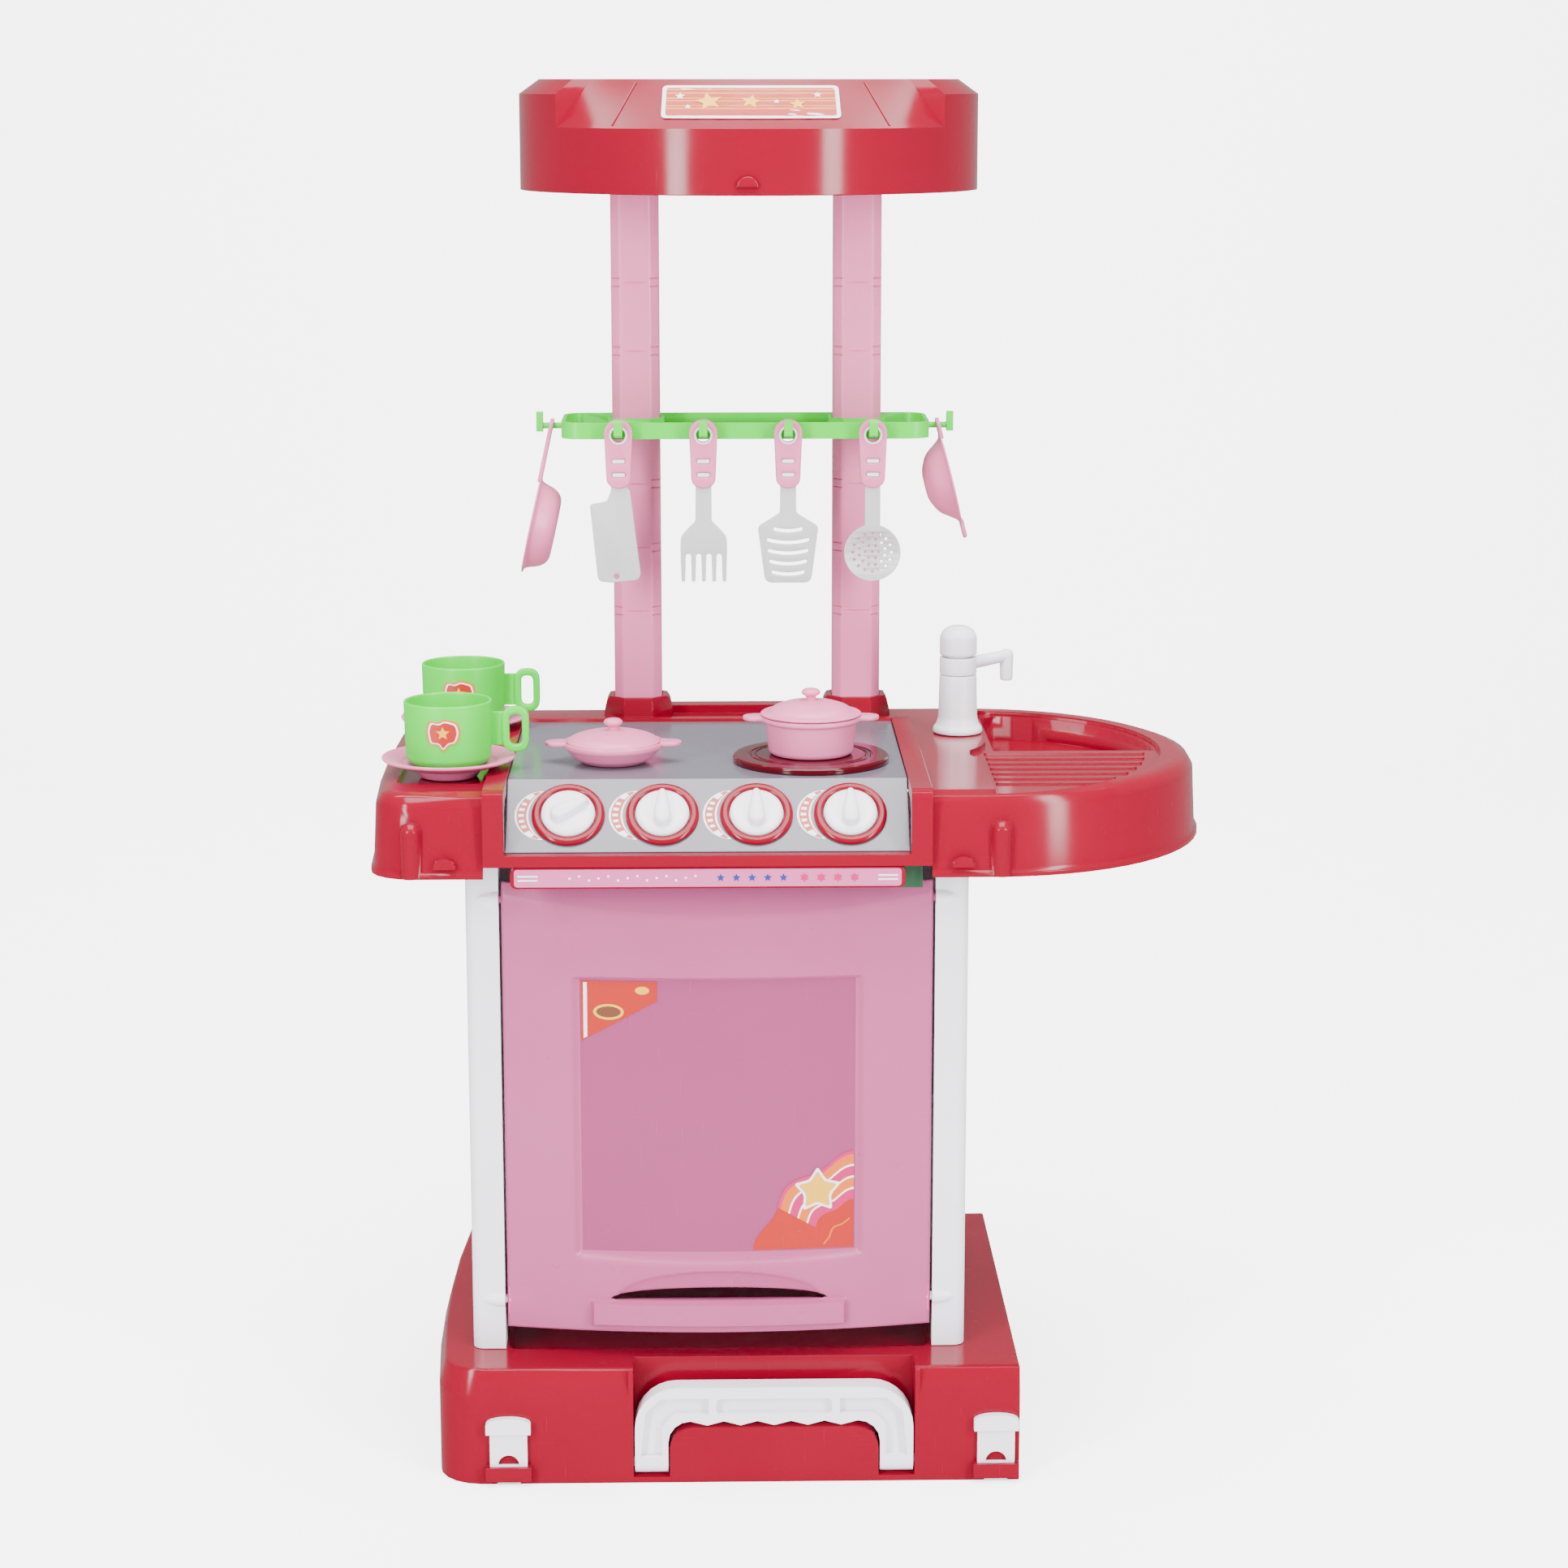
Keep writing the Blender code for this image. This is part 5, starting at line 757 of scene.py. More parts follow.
# %% Faucet
def faucet():
    """Three turned pieces, and a tube that rises a little towards its turned nozzle."""
    middle, low, _ = middle_of("faucet_column")
    foot_z = low.z + 0.0042
    centre = (middle.x, middle.y, foot_z)
    collar_low, collar_high, radius, neck = 0.0306, 0.0396, 0.0096, 0.0060
    column = eased([(0, -0.0042), (0.0050, -0.0042), (0.0050, 0), (0.0128, 0), (0.0128, 0.0026),
                    (0.0112, 0.0046), (0.0101, 0.0080), (radius, collar_low), (neck, collar_low),
                    (neck, collar_high + 0.0050), (0, collar_high + 0.0050)], 0.0012)
    piece("faucet_stand", [turned(column, centre)], looks["white"], "kitchen", "faucet_column")
    cap_low, cap_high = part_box("faucet_cap")
    top = cap_high.z - foot_z
    base = cap_low.z - foot_z
    dome = eased([(0, base + 0.0040), (0.0050, base + 0.0040), (0.0050, base), (radius, base),
                  (radius, top - 0.0070), (radius * 0.98, top - 0.0052), (radius * 0.80, top - 0.0022),
                  (radius * 0.42, top - 0.0003), (0, top)], 0.0016)
    piece("faucet_knob", [turned(dome, centre)], looks["white"], "kitchen", "faucet_cap")
    collar = eased([(neck + 0.0004, collar_low + 0.0003), (radius, collar_low + 0.0003),
                    (radius, collar_high), (neck + 0.0004, collar_high),
                    (neck + 0.0004, collar_low + 0.0003)], 0.0005)
    heading, rise = math.radians(25), math.radians(6)
    ahead = np.array([math.cos(heading) * math.cos(rise), math.sin(heading) * math.cos(rise),
                      math.sin(rise)])
    start = np.array(centre) + (0, 0, (collar_low + collar_high) / 2)
    path = start + np.linspace(0.0074, 0.0290, 12)[:, None] * ahead
    level = np.cross((0, 0, 1), ahead)
    arm = tube(path, np.linspace(0.0034, 0.0030, 12), level / np.linalg.norm(level))
    nose = turned(eased([(0, -0.0130), (0.0030, -0.0130), (0.0033, -0.0118), (0.0036, 0.0010),
                         (0.0024, 0.0032), (0, 0.0034)], 0.0010), path[-1], segments=40)
    piece("faucet_pipe", [turned(collar, centre), arm, nose], looks["white"], "spout",
          "faucet_spout")


faucet()

# %% [markdown]
# ## Posts
#
# The posts are blown tubes with flattened corners. Short lines are pressed into them at five
# heights: one across the front and a pair on each corner. The surface is a section carried
# upward, and it is pushed in where a line runs.

# %% Posts
POST_LINES = (0.4060, 0.4398, 0.4735, 0.5426, 0.5780)


def post(side):
    """A stack of equal sections, where the points on a pressed line move in by a share."""
    name = "post_" + side
    middle, low, high = middle_of(name)
    width, depth, chamfer = high.x - low.x, high.y - low.y, 0.0046
    a, b = width / 2, depth / 2
    corners = [(a, -b + chamfer), (a, b - chamfer), (a - chamfer, b), (chamfer - a, b),
               (-a, b - chamfer), (-a, chamfer - b), (chamfer - a, -b), (a - chamfer, -b)]
    section = eased(corners, 0.0012, closed=True, steps=3)
    step = np.linspace(0, 1, 6, endpoint=False)[:, None, None]
    section = (section * (1 - step) + np.roll(section, -1, 0) * step).transpose(1, 0, 2).reshape(-1, 2)
    near = np.array([-0.0032, -0.0026, -0.0021, -0.0016, -0.0009, -0.0005, 0, 0.0005, 0.0009,
                     0.0016, 0.0021, 0.0026, 0.0032])
    heights = np.unique(np.concatenate([np.linspace(low.z, high.z, 30)] + [z + near for z in POST_LINES]))
    away = np.abs(heights[:, None] - np.array(POST_LINES)).min(1)[:, None]
    x, y = section[:, 0][None], section[:, 1][None]
    front = (np.abs(x) < 0.0062) & (y < -b + 0.0004) & (away < 0.0004)
    on_corner = (np.abs(x) > a - chamfer) & (y < chamfer - b + 0.0008) & (np.abs(away - 0.0021) < 0.0003)
    pressed = 1 - 0.055 * (front | on_corner)
    rings = np.stack([middle.x + x * pressed, middle.y + y * pressed,
                      np.broadcast_to(heights[:, None], pressed.shape)], -1)
    piece(name + "_tube", [loft(rings)], looks["pink"], "kitchen", name)


for side in ("left", "right"):
    post(side)

# %% [markdown]
# ## Utensils
#
# Each has a pink grip with a hole, a pale eyelet and two small windows that show the white
# shank, and a thin white head, painted a darker grey as shade so that it stands off the pale
# backdrop. All are plates with rounded edges, and the skimmer's bowl is a sheet of rings with
# its holes left open.

# %% Utensils
WINDOW_PLACES = (0.0070, 0.0140)
SHANK, SHANK_TOP = 0.0040, 0.0205


def grip(kind):
    """A pink plate with an eyelet hole and two windows, and the white parts that fill them."""
    middle, low, high = middle_of(kind + "_grip")
    half, top, bottom = (high.x - low.x) / 2, high.z, low.z
    turn, lower = np.linspace(0, np.pi, 17), np.linspace(np.pi, 2 * np.pi, 13)
    outline = np.vstack([np.column_stack([half * np.cos(turn), top - half + half * np.sin(turn)]),
                         np.column_stack([half * 0.86 * np.cos(lower),
                                          bottom + half * 0.7 + half * 0.7 * np.sin(lower)])])
    waist = 1 - 0.06 * np.exp(-((outline[:, 1] - (top + bottom) / 2) / 0.006) ** 2)
    outline[:, 0] *= waist
    hole_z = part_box("utensil_rack")[0].z + 0.0036 - 0.0008
    eyelet = oval(0.0072, 0.0072) + np.array([0, hole_z])
    windows = [rectangle(0.0068, 0.0023, 0.0011, (0, bottom + place)) for place in WINDOW_PLACES]
    face = facing((middle.x, middle.y, 0), (1, 0, 0), (0, 0, 1))
    piece(kind + "_handle", [slab([outline, eyelet] + windows, high.y - low.y, 0.0010, face)],
          looks["pink"], kind, kind + "_grip")
    ring = eased([(0.0037, -0.0026), (0.0047, -0.0026), (0.0047, 0.0026), (0.0037, 0.0026),
                  (0.0037, -0.0026)], 0.0003)
    axes = Matrix.Rotation(math.radians(90), 3, "X")
    plugs = [slab([rectangle(0.0064, 0.0019, 0.0009, (0, bottom + place))], 0.0040, 0.0002, face)
             for place in WINDOW_PLACES]
    piece(kind + "_eyelet", [turned(ring, (middle.x, middle.y, hole_z), axes, 40)] + plugs,
          looks["white"], kind, None)


def grip_foot(kind):
    """The middle of a grip's lower end, from which its white head is measured."""
    middle, low, _ = middle_of(kind + "_grip")
    return middle.x, middle.y, low.z


def plate(kind, outlines):
    """A thin plate that hangs from a grip."""
    return slab(outlines, 0.0016, 0.0004, facing(grip_foot(kind), (1, 0, 0), (0, 0, 1)))


def head(name, kind, cad_node, shapes):
    # The heads get the darker utensil white, which is painted shade.
    piece(name, shapes, looks["utensil"], kind, cad_node)


def mirrored(right):
    """A whole outline from its right side, given from bottom to top."""
    right = np.array(right)
    return np.vstack([right, right[::-1] * (-1, 1)])




def cleaver():
    outline = eased([(SHANK, SHANK_TOP), (-SHANK, SHANK_TOP), (-SHANK, -0.0010), (-0.0062, -0.0066),
                     (-0.0150, -0.0082), (-0.0113, -0.0463), (-0.0100, -0.0482), (-0.0040, -0.0488),
                     (0.0094, -0.0474), (0.0110, -0.0450), (0.0056, -0.0005), (SHANK, 0.0005)],
                    0.0016, closed=True)
    hole = oval(0.0030, 0.0030, 24) + np.array([-0.0015, -0.0455])
    head("cleaver_plate", "cleaver", "cleaver_blade", [plate("cleaver", [outline, hole])])


def fork():
    tine, space, tip, root = 0.0027, 0.0026, -0.0484, -0.0340
    lefts = -2.5 * tine - 2 * space + np.arange(5) * (tine + space)
    tips = np.stack([np.column_stack([lefts, np.full(5, root)]),
                     np.column_stack([lefts + 0.0004, np.full(5, tip)]),
                     np.column_stack([lefts + tine - 0.0004, np.full(5, tip)]),
                     np.column_stack([lefts + tine, np.full(5, root)])], 1).reshape(-1, 2)
    tips[0], tips[-1] = (-0.0121, -0.0300), (0.0121, -0.0300)
    right = np.array([(0.0117, -0.0250), (0.0080, -0.0205), (0.0042, -0.0170), (SHANK, SHANK_TOP)])
    outline = np.vstack([tips, right, right[::-1] * (-1, 1)])
    outline = eased(outline, 0.0011, closed=True)
    head("fork_plate", "fork", "fork_head", [plate("fork", [outline])])


def spatula():
    right = [(0.0100, -0.0490), (0.0121, -0.0470), (0.0156, -0.0205), (0.0145, -0.0190),
             (0.0042, -0.0128), (SHANK, SHANK_TOP)]
    outlines = [eased(mirrored(right), 0.0018, closed=True)]
    s = np.linspace(-1, 1, 13)
    for row, half in enumerate((0.0075, 0.0109, 0.0105, 0.0097, 0.0085)):
        middle = -0.0210 - row * 0.0056
        sag = -0.0016 * (1 - s ** 2) * (half / 0.0109)
        upper = np.column_stack([s * half, middle + 0.0009 + sag])
        lower = np.column_stack([s[::-1] * half, middle - 0.0009 + sag[::-1]])
        outlines.append(eased(np.vstack([upper, lower]), 0.0008, closed=True, steps=2))
    head("spatula_plate", "spatula", "spatula_head", [plate("spatula", outlines)])


def skimmer():
    """The bowl is a dished plate: every point of a flat holed disc is pushed back by
    depth (1 - (r / R)^2)."""
    neck = np.array([(SHANK, SHANK_TOP), (-SHANK, SHANK_TOP), (-SHANK, -0.0200), (SHANK, -0.0200)])
    x, y, bottom = grip_foot("skimmer")
    radius, depth = 0.0146, 0.0038
    holes = [oval(2 * radius, 2 * radius, 64)]
    for count, ring, start in ((1, 0.0, 0.0), (6, 0.0036, 0.0), (12, 0.0068, 0.26), (16, 0.0100, 0.0)):
        turn = start + np.arange(count) * 2 * np.pi / count
        holes += [oval(0.0014, 0.0014, 10) + np.array([ring * math.cos(t), ring * math.sin(t)])
                  for t in turn]
    flat_points, flat_faces = slab(holes, 0.0013, 0.0003, Matrix.Identity(4))
    reach = np.linalg.norm(flat_points[:, :2], axis=1) / radius
    flat_points[:, 2] -= depth * (1 - np.clip(reach, 0, 1) ** 2) - 0.0009
    bowl = np.column_stack([x + flat_points[:, 0], y - flat_points[:, 2],
                            bottom - 0.0335 + flat_points[:, 1]])
    head("skimmer_bowl", "skimmer", "skimmer_head", [plate("skimmer", [neck]), (bowl, flat_faces)])


for kind in ("cleaver", "fork", "spatula", "skimmer"):
    grip(kind)
cleaver()
fork()
spatula()
skimmer()

# %% [markdown]
# ## Canopy
#
# The hood is a thin D-shaped shell. Its middle part has an upright band below a crease and a
# slope above it, while the two shoulders stay upright almost to the top. Where they meet there
# is a slanting facet. The surface is a grid: columns run round the D, rows run up the wall,
# and a shoulder column only swaps its heights and insets for others.

# %% Canopy
canopy_low, canopy_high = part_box("canopy")
CANOPY_X = (canopy_low.x + canopy_high.x) / 2
CANOPY_BACK = canopy_high.y
CANOPY_HALF = (canopy_high.x - canopy_low.x) / 2
CANOPY_DEPTH = 0.1125
CANOPY_FOOT, CANOPY_ROOF = canopy_low.z, canopy_high.z
CREASE = CANOPY_FOOT + 0.0325
ROOF_INSET = 0.0035
UPRIGHT_SHARE, CHAMFER_RISE, CHAMFER_INSET = 0.75, 0.0075, 0.0105


def slope_inset(level):
    """How far the middle slope has moved in at a level from 0 at the crease to 1 at the roof."""
    return 0.0295 * level


def canopy_wall(turn, inset, pull):
    """A point of the D: x = a cos t, y = back + b sin t, with both half axes made smaller."""
    x = CANOPY_X + (CANOPY_HALF - inset) * np.cos(turn)
    y = CANOPY_BACK + (CANOPY_DEPTH - inset - pull) * np.sin(turn)
    return x, y


def canopy():
    """The D's front as three grids side by side, then its flat back, its roof and its wall."""
    shoulder = math.radians(35)
    spread = math.radians(11)
    slope_rows = np.linspace(0, 1, 9)
    height = CANOPY_ROOF - CREASE
    heights = np.concatenate([[CANOPY_FOOT, CANOPY_FOOT + 0.0006, CANOPY_FOOT + 0.010,
                               CREASE - 0.0035, CREASE - 0.0012],
                              CREASE + height * slope_rows])
    count = len(heights)
    level = np.concatenate([np.zeros(5), slope_rows])
    columns = []
    middle_turns = np.linspace(math.pi + shoulder, 2 * math.pi - shoulder, 65)
    for part in ("left", "middle", "right"):
        if part == "middle":
            drift = (middle_turns - 1.5 * math.pi) / (0.5 * math.pi - shoulder)
            turns = middle_turns[None] - spread * drift[None] * level[:, None] ** 0.9
            z = np.broadcast_to(heights[:, None], turns.shape)
            pull = slope_inset(level)[:, None] * np.ones_like(turns)
            inset = (ROOF_INSET * level)[:, None] * np.ones_like(turns)
        else:
            first = math.pi if part == "left" else 2 * math.pi - shoulder
            turns = np.broadcast_to(np.linspace(first, first + shoulder, 13)[None], (count, 13))
            rise = np.clip(slope_rows / UPRIGHT_SHARE, 0, 1)
            tip = np.clip((slope_rows - UPRIGHT_SHARE) / (1 - UPRIGHT_SHARE), 0, 1)
            slope_heights = CREASE + (height - CHAMFER_RISE) * rise + CHAMFER_RISE * tip
            z = np.concatenate([heights[:5], slope_heights])[:, None] + 0 * turns
            push = np.concatenate([np.zeros(5), CHAMFER_INSET * tip])
            inset = push[:, None] * np.ones_like(turns)
            pull = 0 * inset
        x, y = canopy_wall(turns, inset, pull)
        y = np.minimum(y, CANOPY_BACK)
        columns.append(np.stack([x, y, z], -1))
    front = np.concatenate(columns, 1)
    back_steps = np.linspace(0, 1, 10)[1:-1][None, :, None]
    back = front[:, -1:] * (1 - back_steps) + front[:, :1] * back_steps
    outer = np.concatenate([front, back], 1)
    rows, size = outer.shape[:2]
    points = outer.reshape(-1, 3)
    faces = grid_faces(rows, size, True)
    roof = list(range((rows - 1) * size, rows * size))
    mesh = mesh_of("canopy_hood", [(points, faces + [roof])], close=False, smooth_below=24)
    mesh.materials.append(looks["red_shell"])
    walled("canopy_hood", mesh, 0.0024, "kitchen", "canopy")


def canopy_details():
    """The catch in front, the two sockets inside, and two thin ridges on the slope."""
    front_edge = CANOPY_BACK - CANOPY_DEPTH
    turn = np.linspace(0, np.pi, 25)
    half_round = np.column_stack([0.0056 * np.cos(turn), 0.0056 * np.sin(turn)])
    catch = slab([half_round], 0.0034, 0.0007,
                 facing((CANOPY_X - 0.0020, front_edge - 0.0005, CANOPY_FOOT + 0.0040), (1, 0, 0), (0, 0, 1)))
    shapes = [catch]
    for side in ("left", "right"):
        middle, low, high = middle_of("post_" + side)
        inner, outer = 0.0003, 0.0020
        a, b = (high.x - low.x) / 2, (high.y - low.y) / 2
        wide = rectangle(2 * (a + outer), 2 * (b + outer), 0.0060, (middle.x, middle.y))
        narrow = rectangle(2 * (a + inner), 2 * (b + inner), 0.0050, (middle.x, middle.y))
        low_z, high_z = CANOPY_FOOT + 0.010, CANOPY_FOOT + 0.040
        rings = [np.column_stack([ring, np.full(len(ring), z)]) for ring, z in
                 ((wide, high_z), (wide, low_z), (narrow, low_z), (narrow, high_z))]
        shapes.append(loft(rings))
    for way in (-1, 1):
        level = np.linspace(0.06, 0.92, 16)
        turns = 1.5 * math.pi + way * (0.62 - 0.115 * level)
        x, y = canopy_wall(turns, ROOF_INSET * level, slope_inset(level))
        z = CREASE + (CANOPY_ROOF - CREASE) * level
        shapes.append(tube(np.column_stack([x, y, z]), 0.0006, (1, 0, 0), 8))
    piece("canopy_fittings", shapes, looks["red_shell"], "kitchen", None)


canopy()
canopy_details()

# %% [markdown]
# ## Oven door
#
# The door is a thin translucent panel that bulges forward. Its rows follow its own lines: the
# grip, the arched slot, the window's sagging lower edge and the bend under the hinge. The
# front is y = bulge(x) + relief(x, z), where each feature is a smooth step, and a Solidify
# modifier gives the wall.

# %% Door surface
door_low, door_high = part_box("oven_door")
DOOR_MIDDLE = (door_low.x + door_high.x) / 2
DOOR_HALF = 0.1052
HINGE = Vector((DOOR_MIDDLE, -0.08425, 0.2905))
DOOR_FOOT, DOOR_TOP = door_low.z, door_high.z
WINDOW_HALF, WINDOW_LOW, WINDOW_TOP = 0.0675, 0.1125, 0.2515
SLOT_HALF, SLOT_LOW = 0.0535, DOOR_FOOT + 0.0167
GRIP_HALF, GRIP_LOW, GRIP_TOP = 0.0635, DOOR_FOOT + 0.0030, DOOR_FOOT + 0.0163
WINDOW_EDGE, WINDOW_BEND, WINDOW_SAG, WINDOW_SUNK, GRIP_EDGE = 0.0048, 0.0020, 0.0030, 0.0030, 0.0016
CLIP_HEIGHT = 0.0852


def smooth(level):
    """0 below 0, 1 above 1, and 3t^2 - 2t^3 between."""
    level = np.clip(level, 0, 1)
    return level * level * (3 - 2 * level)


def bulge(x):
    """The door's face without its relief: an arch across the width."""
    share = (x - DOOR_MIDDLE) / DOOR_HALF
    return HINGE.y - 0.0022 - 0.0110 * (1 - share ** 2)


def crease_height(x):
    """The bend under the hinge: an arch that sags in the middle."""
    return DOOR_TOP - 0.0060 - 0.0095 * (1 - ((x - DOOR_MIDDLE) / DOOR_HALF) ** 2)


def slot_top(x):
    """The slot's upper edge: half an ellipse over its straight lower edge."""
    share = np.clip(1 - ((x - DOOR_MIDDLE) / SLOT_HALF) ** 2, 0, 1)
    return SLOT_LOW + 0.0006 + 0.0048 * np.sqrt(share)


def relief(x, z):
    """How far the face stands out (negative) or in (positive) at a point of the door."""
    across = np.abs(x - DOOR_MIDDLE)
    sag = WINDOW_SAG * (1 - ((x - DOOR_MIDDLE) / WINDOW_HALF) ** 2)
    window = smooth((WINDOW_HALF + WINDOW_EDGE - across) / WINDOW_EDGE)
    window *= smooth((WINDOW_TOP + WINDOW_BEND - z) / WINDOW_BEND)
    window *= smooth((z - WINDOW_LOW + WINDOW_EDGE + sag) / WINDOW_EDGE)
    bar = smooth((GRIP_HALF - across) / GRIP_EDGE) * smooth((GRIP_TOP - z) / GRIP_EDGE)
    bar *= smooth((z - GRIP_LOW) / GRIP_EDGE)
    hollow_share = ((x - DOOR_MIDDLE) / 0.0510) ** 2 + ((z - SLOT_LOW) / 0.0150) ** 2
    hollow = np.sqrt(np.clip(1 - hollow_share, 0, 1)) * (z > SLOT_LOW - 0.0004)
    lean = np.clip(z - crease_height(x), 0, 1)
    moved = WINDOW_SUNK * window - 0.0040 * bar + 0.0042 * hollow + 0.34 * lean
    for place in (-0.0400, -0.0200, 0.0, 0.0200, 0.0400):
        dent = np.exp(-((across * np.sign(x - DOOR_MIDDLE) - place) ** 2
                        + (z - (GRIP_LOW + GRIP_TOP) / 2) ** 2) / 0.0016 ** 2)
        moved = moved + 0.0006 * dent
    return moved


def door():
    """A grid whose columns crowd at the window, the grip and the slot, and whose rows run from
    line to line. The faces inside the slot are left out."""
    left = np.array([-DOOR_HALF, -WINDOW_HALF - WINDOW_EDGE, -WINDOW_HALF, -GRIP_HALF,
                     -GRIP_HALF + GRIP_EDGE, -SLOT_HALF, -SLOT_HALF + 0.006])
    stops = np.concatenate([left, -left[::-1]])
    steps = (20, 6, 4, 3, 5, 6, 56, 6, 5, 3, 4, 6, 20)
    x = np.concatenate([np.linspace(a, b, n, endpoint=False) for a, b, n in zip(stops, stops[1:], steps)]
                       + [stops[-1:]]) + DOOR_MIDDLE
    sag = WINDOW_SAG * np.clip(1 - ((x - DOOR_MIDDLE) / WINDOW_HALF) ** 2, 0, 1)
    flat = np.ones_like(x)
    lines = [DOOR_FOOT * flat, GRIP_LOW * flat, (GRIP_LOW + GRIP_EDGE) * flat, (GRIP_TOP - GRIP_EDGE) * flat,
             GRIP_TOP * flat, SLOT_LOW * flat, slot_top(x), SLOT_LOW + 0.0152 * flat,
             WINDOW_LOW - WINDOW_EDGE - sag, WINDOW_LOW * flat, WINDOW_TOP * flat,
             (WINDOW_TOP + WINDOW_BEND) * flat, crease_height(x), DOOR_TOP * flat]
    between = (3, 4, 10, 4, 1, 4, 12, 4, 6, 60, 4, 14, 8)
    rows = [low + (high - low) * step / n for low, high, n in zip(lines, lines[1:], between)
            for step in range(n)] + [lines[-1]]
    z = np.array(rows)
    grid_x = np.broadcast_to(x, z.shape)
    y = bulge(grid_x) + relief(grid_x, z)
    points = np.stack([grid_x, y, z], -1).reshape(-1, 3)
    faces = np.array(grid_faces(*z.shape))
    slot_row = sum(between[:5])
    row, column = np.divmod(np.arange(len(faces)), z.shape[1] - 1)
    middle_x = (x[:-1] + x[1:])[column] / 2 - DOOR_MIDDLE
    opening = (row >= slot_row) & (row < slot_row + between[5]) & (np.abs(middle_x) < SLOT_HALF)
    return points, faces[~opening].tolist()


def door_fittings():
    """Two pivots in the side panels and two snap clips behind the lower corners."""
    pivots, clips = [], []
    for way in (-1, 1):
        edge = DOOR_MIDDLE + way * DOOR_HALF
        path = np.column_stack([np.linspace(edge - way * 0.006, edge + way * 0.0060, 4),
                                np.full(4, HINGE.y), np.full(4, HINGE.z)])
        pivots.append(tube(path, 0.0022, (0, 1, 0), 24))
        turn = np.linspace(np.pi / 2, 3 * np.pi / 2, 13)
        inner = np.column_stack([0.0026 * np.cos(turn), 0.0026 * np.sin(turn)])
        outline = np.vstack([[(0.0050, 0.0026)], inner, [(0.0050, -0.0026), (0.0050, -0.0067),
                             (-0.0024, -0.0067), (-0.0024, 0.0067), (0.0050, 0.0067)]])
        face = facing((edge - way * 0.0070, HINGE.y, CLIP_HEIGHT), (0, 1, 0), (0, 0, 1))
        clips.append(slab([outline], 0.0130, 0.0004, face))
    return pivots, clips


door_plastic = plastic("rosy_door", (0.47, 0.085, 0.225), 0.30, drift=0.03, waves=0.03, alpha=0.84)
window_plastic = plastic("rosy_window", (0.36, 0.060, 0.172), 0.16, drift=0.02, waves=0.02, alpha=0.76)
clip_plastic = plastic("clip_pink", (0.95, 0.06, 0.40), 0.35)
points, faces = door()
door_mesh = mesh_of("door_panel", [(points, faces)], close=False, smooth_below=40)
door_mesh.materials.append(door_plastic)
door_mesh.materials.append(window_plastic)
centres = np.array([face.center for face in door_mesh.polygons])
in_window = ((np.abs(centres[:, 0] - DOOR_MIDDLE) < WINDOW_HALF) & (centres[:, 2] < WINDOW_TOP)
             & (centres[:, 2] > WINDOW_LOW))
door_mesh.polygons.foreach_set("material_index", in_window.astype(np.int32))
walled("door_panel", door_mesh, 0.0022, "door", "oven_door")
pivots, clips = door_fittings()
piece("door_pivots", pivots, door_plastic, "door", None)
piece("door_clips", clips, clip_plastic, "door", None)

# %% [markdown]
# ## Printed labels
#
# The toy is brightened with glossy paper labels. Each one here is a patch that fans out from
# its middle: ring s of the fan is s times the outline, and a placing function bends it onto the
# surface below. The prints are plain stripes, dots and stars.

# %% Label tools
def ink(name, colour):
    """Glossy printed paper is smoother and more even than moulded plastic."""
    return plastic("ink_" + name, colour, 0.25, drift=0.02, grain=0.01, waves=0.01, scratches=0.1)


inks = {name: ink(name, colour) for name, colour in {
    "white": (0.86, 0.86, 0.86), "red": (0.42, 0.016, 0.010), "orange": (0.66, 0.13, 0.012),
    "yellow": (0.76, 0.40, 0.02), "blue": (0.012, 0.035, 0.25), "magenta": (0.52, 0.006, 0.115),
    "pink": (0.58, 0.115, 0.29), "brown": (0.15, 0.05, 0.022)}.items()}


def fan(outline, place, rings=4):
    """Points place(s * outline) for s from 0 to 1, as a grid of rings about the middle."""
    outline = np.asarray(outline, float)
    middle = outline.mean(0)
    s = np.linspace(0, 1, rings + 1)[:, None, None]
    flat = middle + s * (outline[None] - middle)
    return place(flat.reshape(-1, 2)), grid_faces(rings + 1, len(outline), True)


def star(radius, centre=(0, 0), points=5, inner=0.45, turn=0.0):
    angle = np.pi / 2 + turn + np.arange(2 * points) * np.pi / points
    reach = np.where(np.arange(2 * points) % 2 == 0, radius, radius * inner)
    return np.column_stack([reach * np.cos(angle), reach * np.sin(angle)]) + np.array(centre)


def label(name, body, look, shapes):
    """Several flat prints of one ink as one thin piece."""
    piece(name, shapes, inks[look], body, None, close=False, smooth_below=30)


def dense(outline, steps=6):
    """More points along each side, so a long side can bend."""
    outline = np.asarray(outline, float)
    s = np.arange(steps)[:, None, None] / steps
    return (outline * (1 - s) + np.roll(outline, -1, 0) * s).transpose(1, 0, 2).reshape(-1, 2)


# %% Canopy label
def on_canopy(lift):
    """u runs round the slope and v up it, both in metres from the label's middle."""
    def place(flat):
        level = 0.52 + flat[:, 1] / 0.0378
        turns = 1.5 * math.pi + flat[:, 0] / 0.1120
        x, y = canopy_wall(turns, ROOF_INSET * level, slope_inset(level))
        z = CREASE + (CANOPY_ROOF - CREASE) * level
        return np.column_stack([x, y - (lift + 0.0004) * 0.6, z + (lift + 0.0004) * 0.8])
    return place


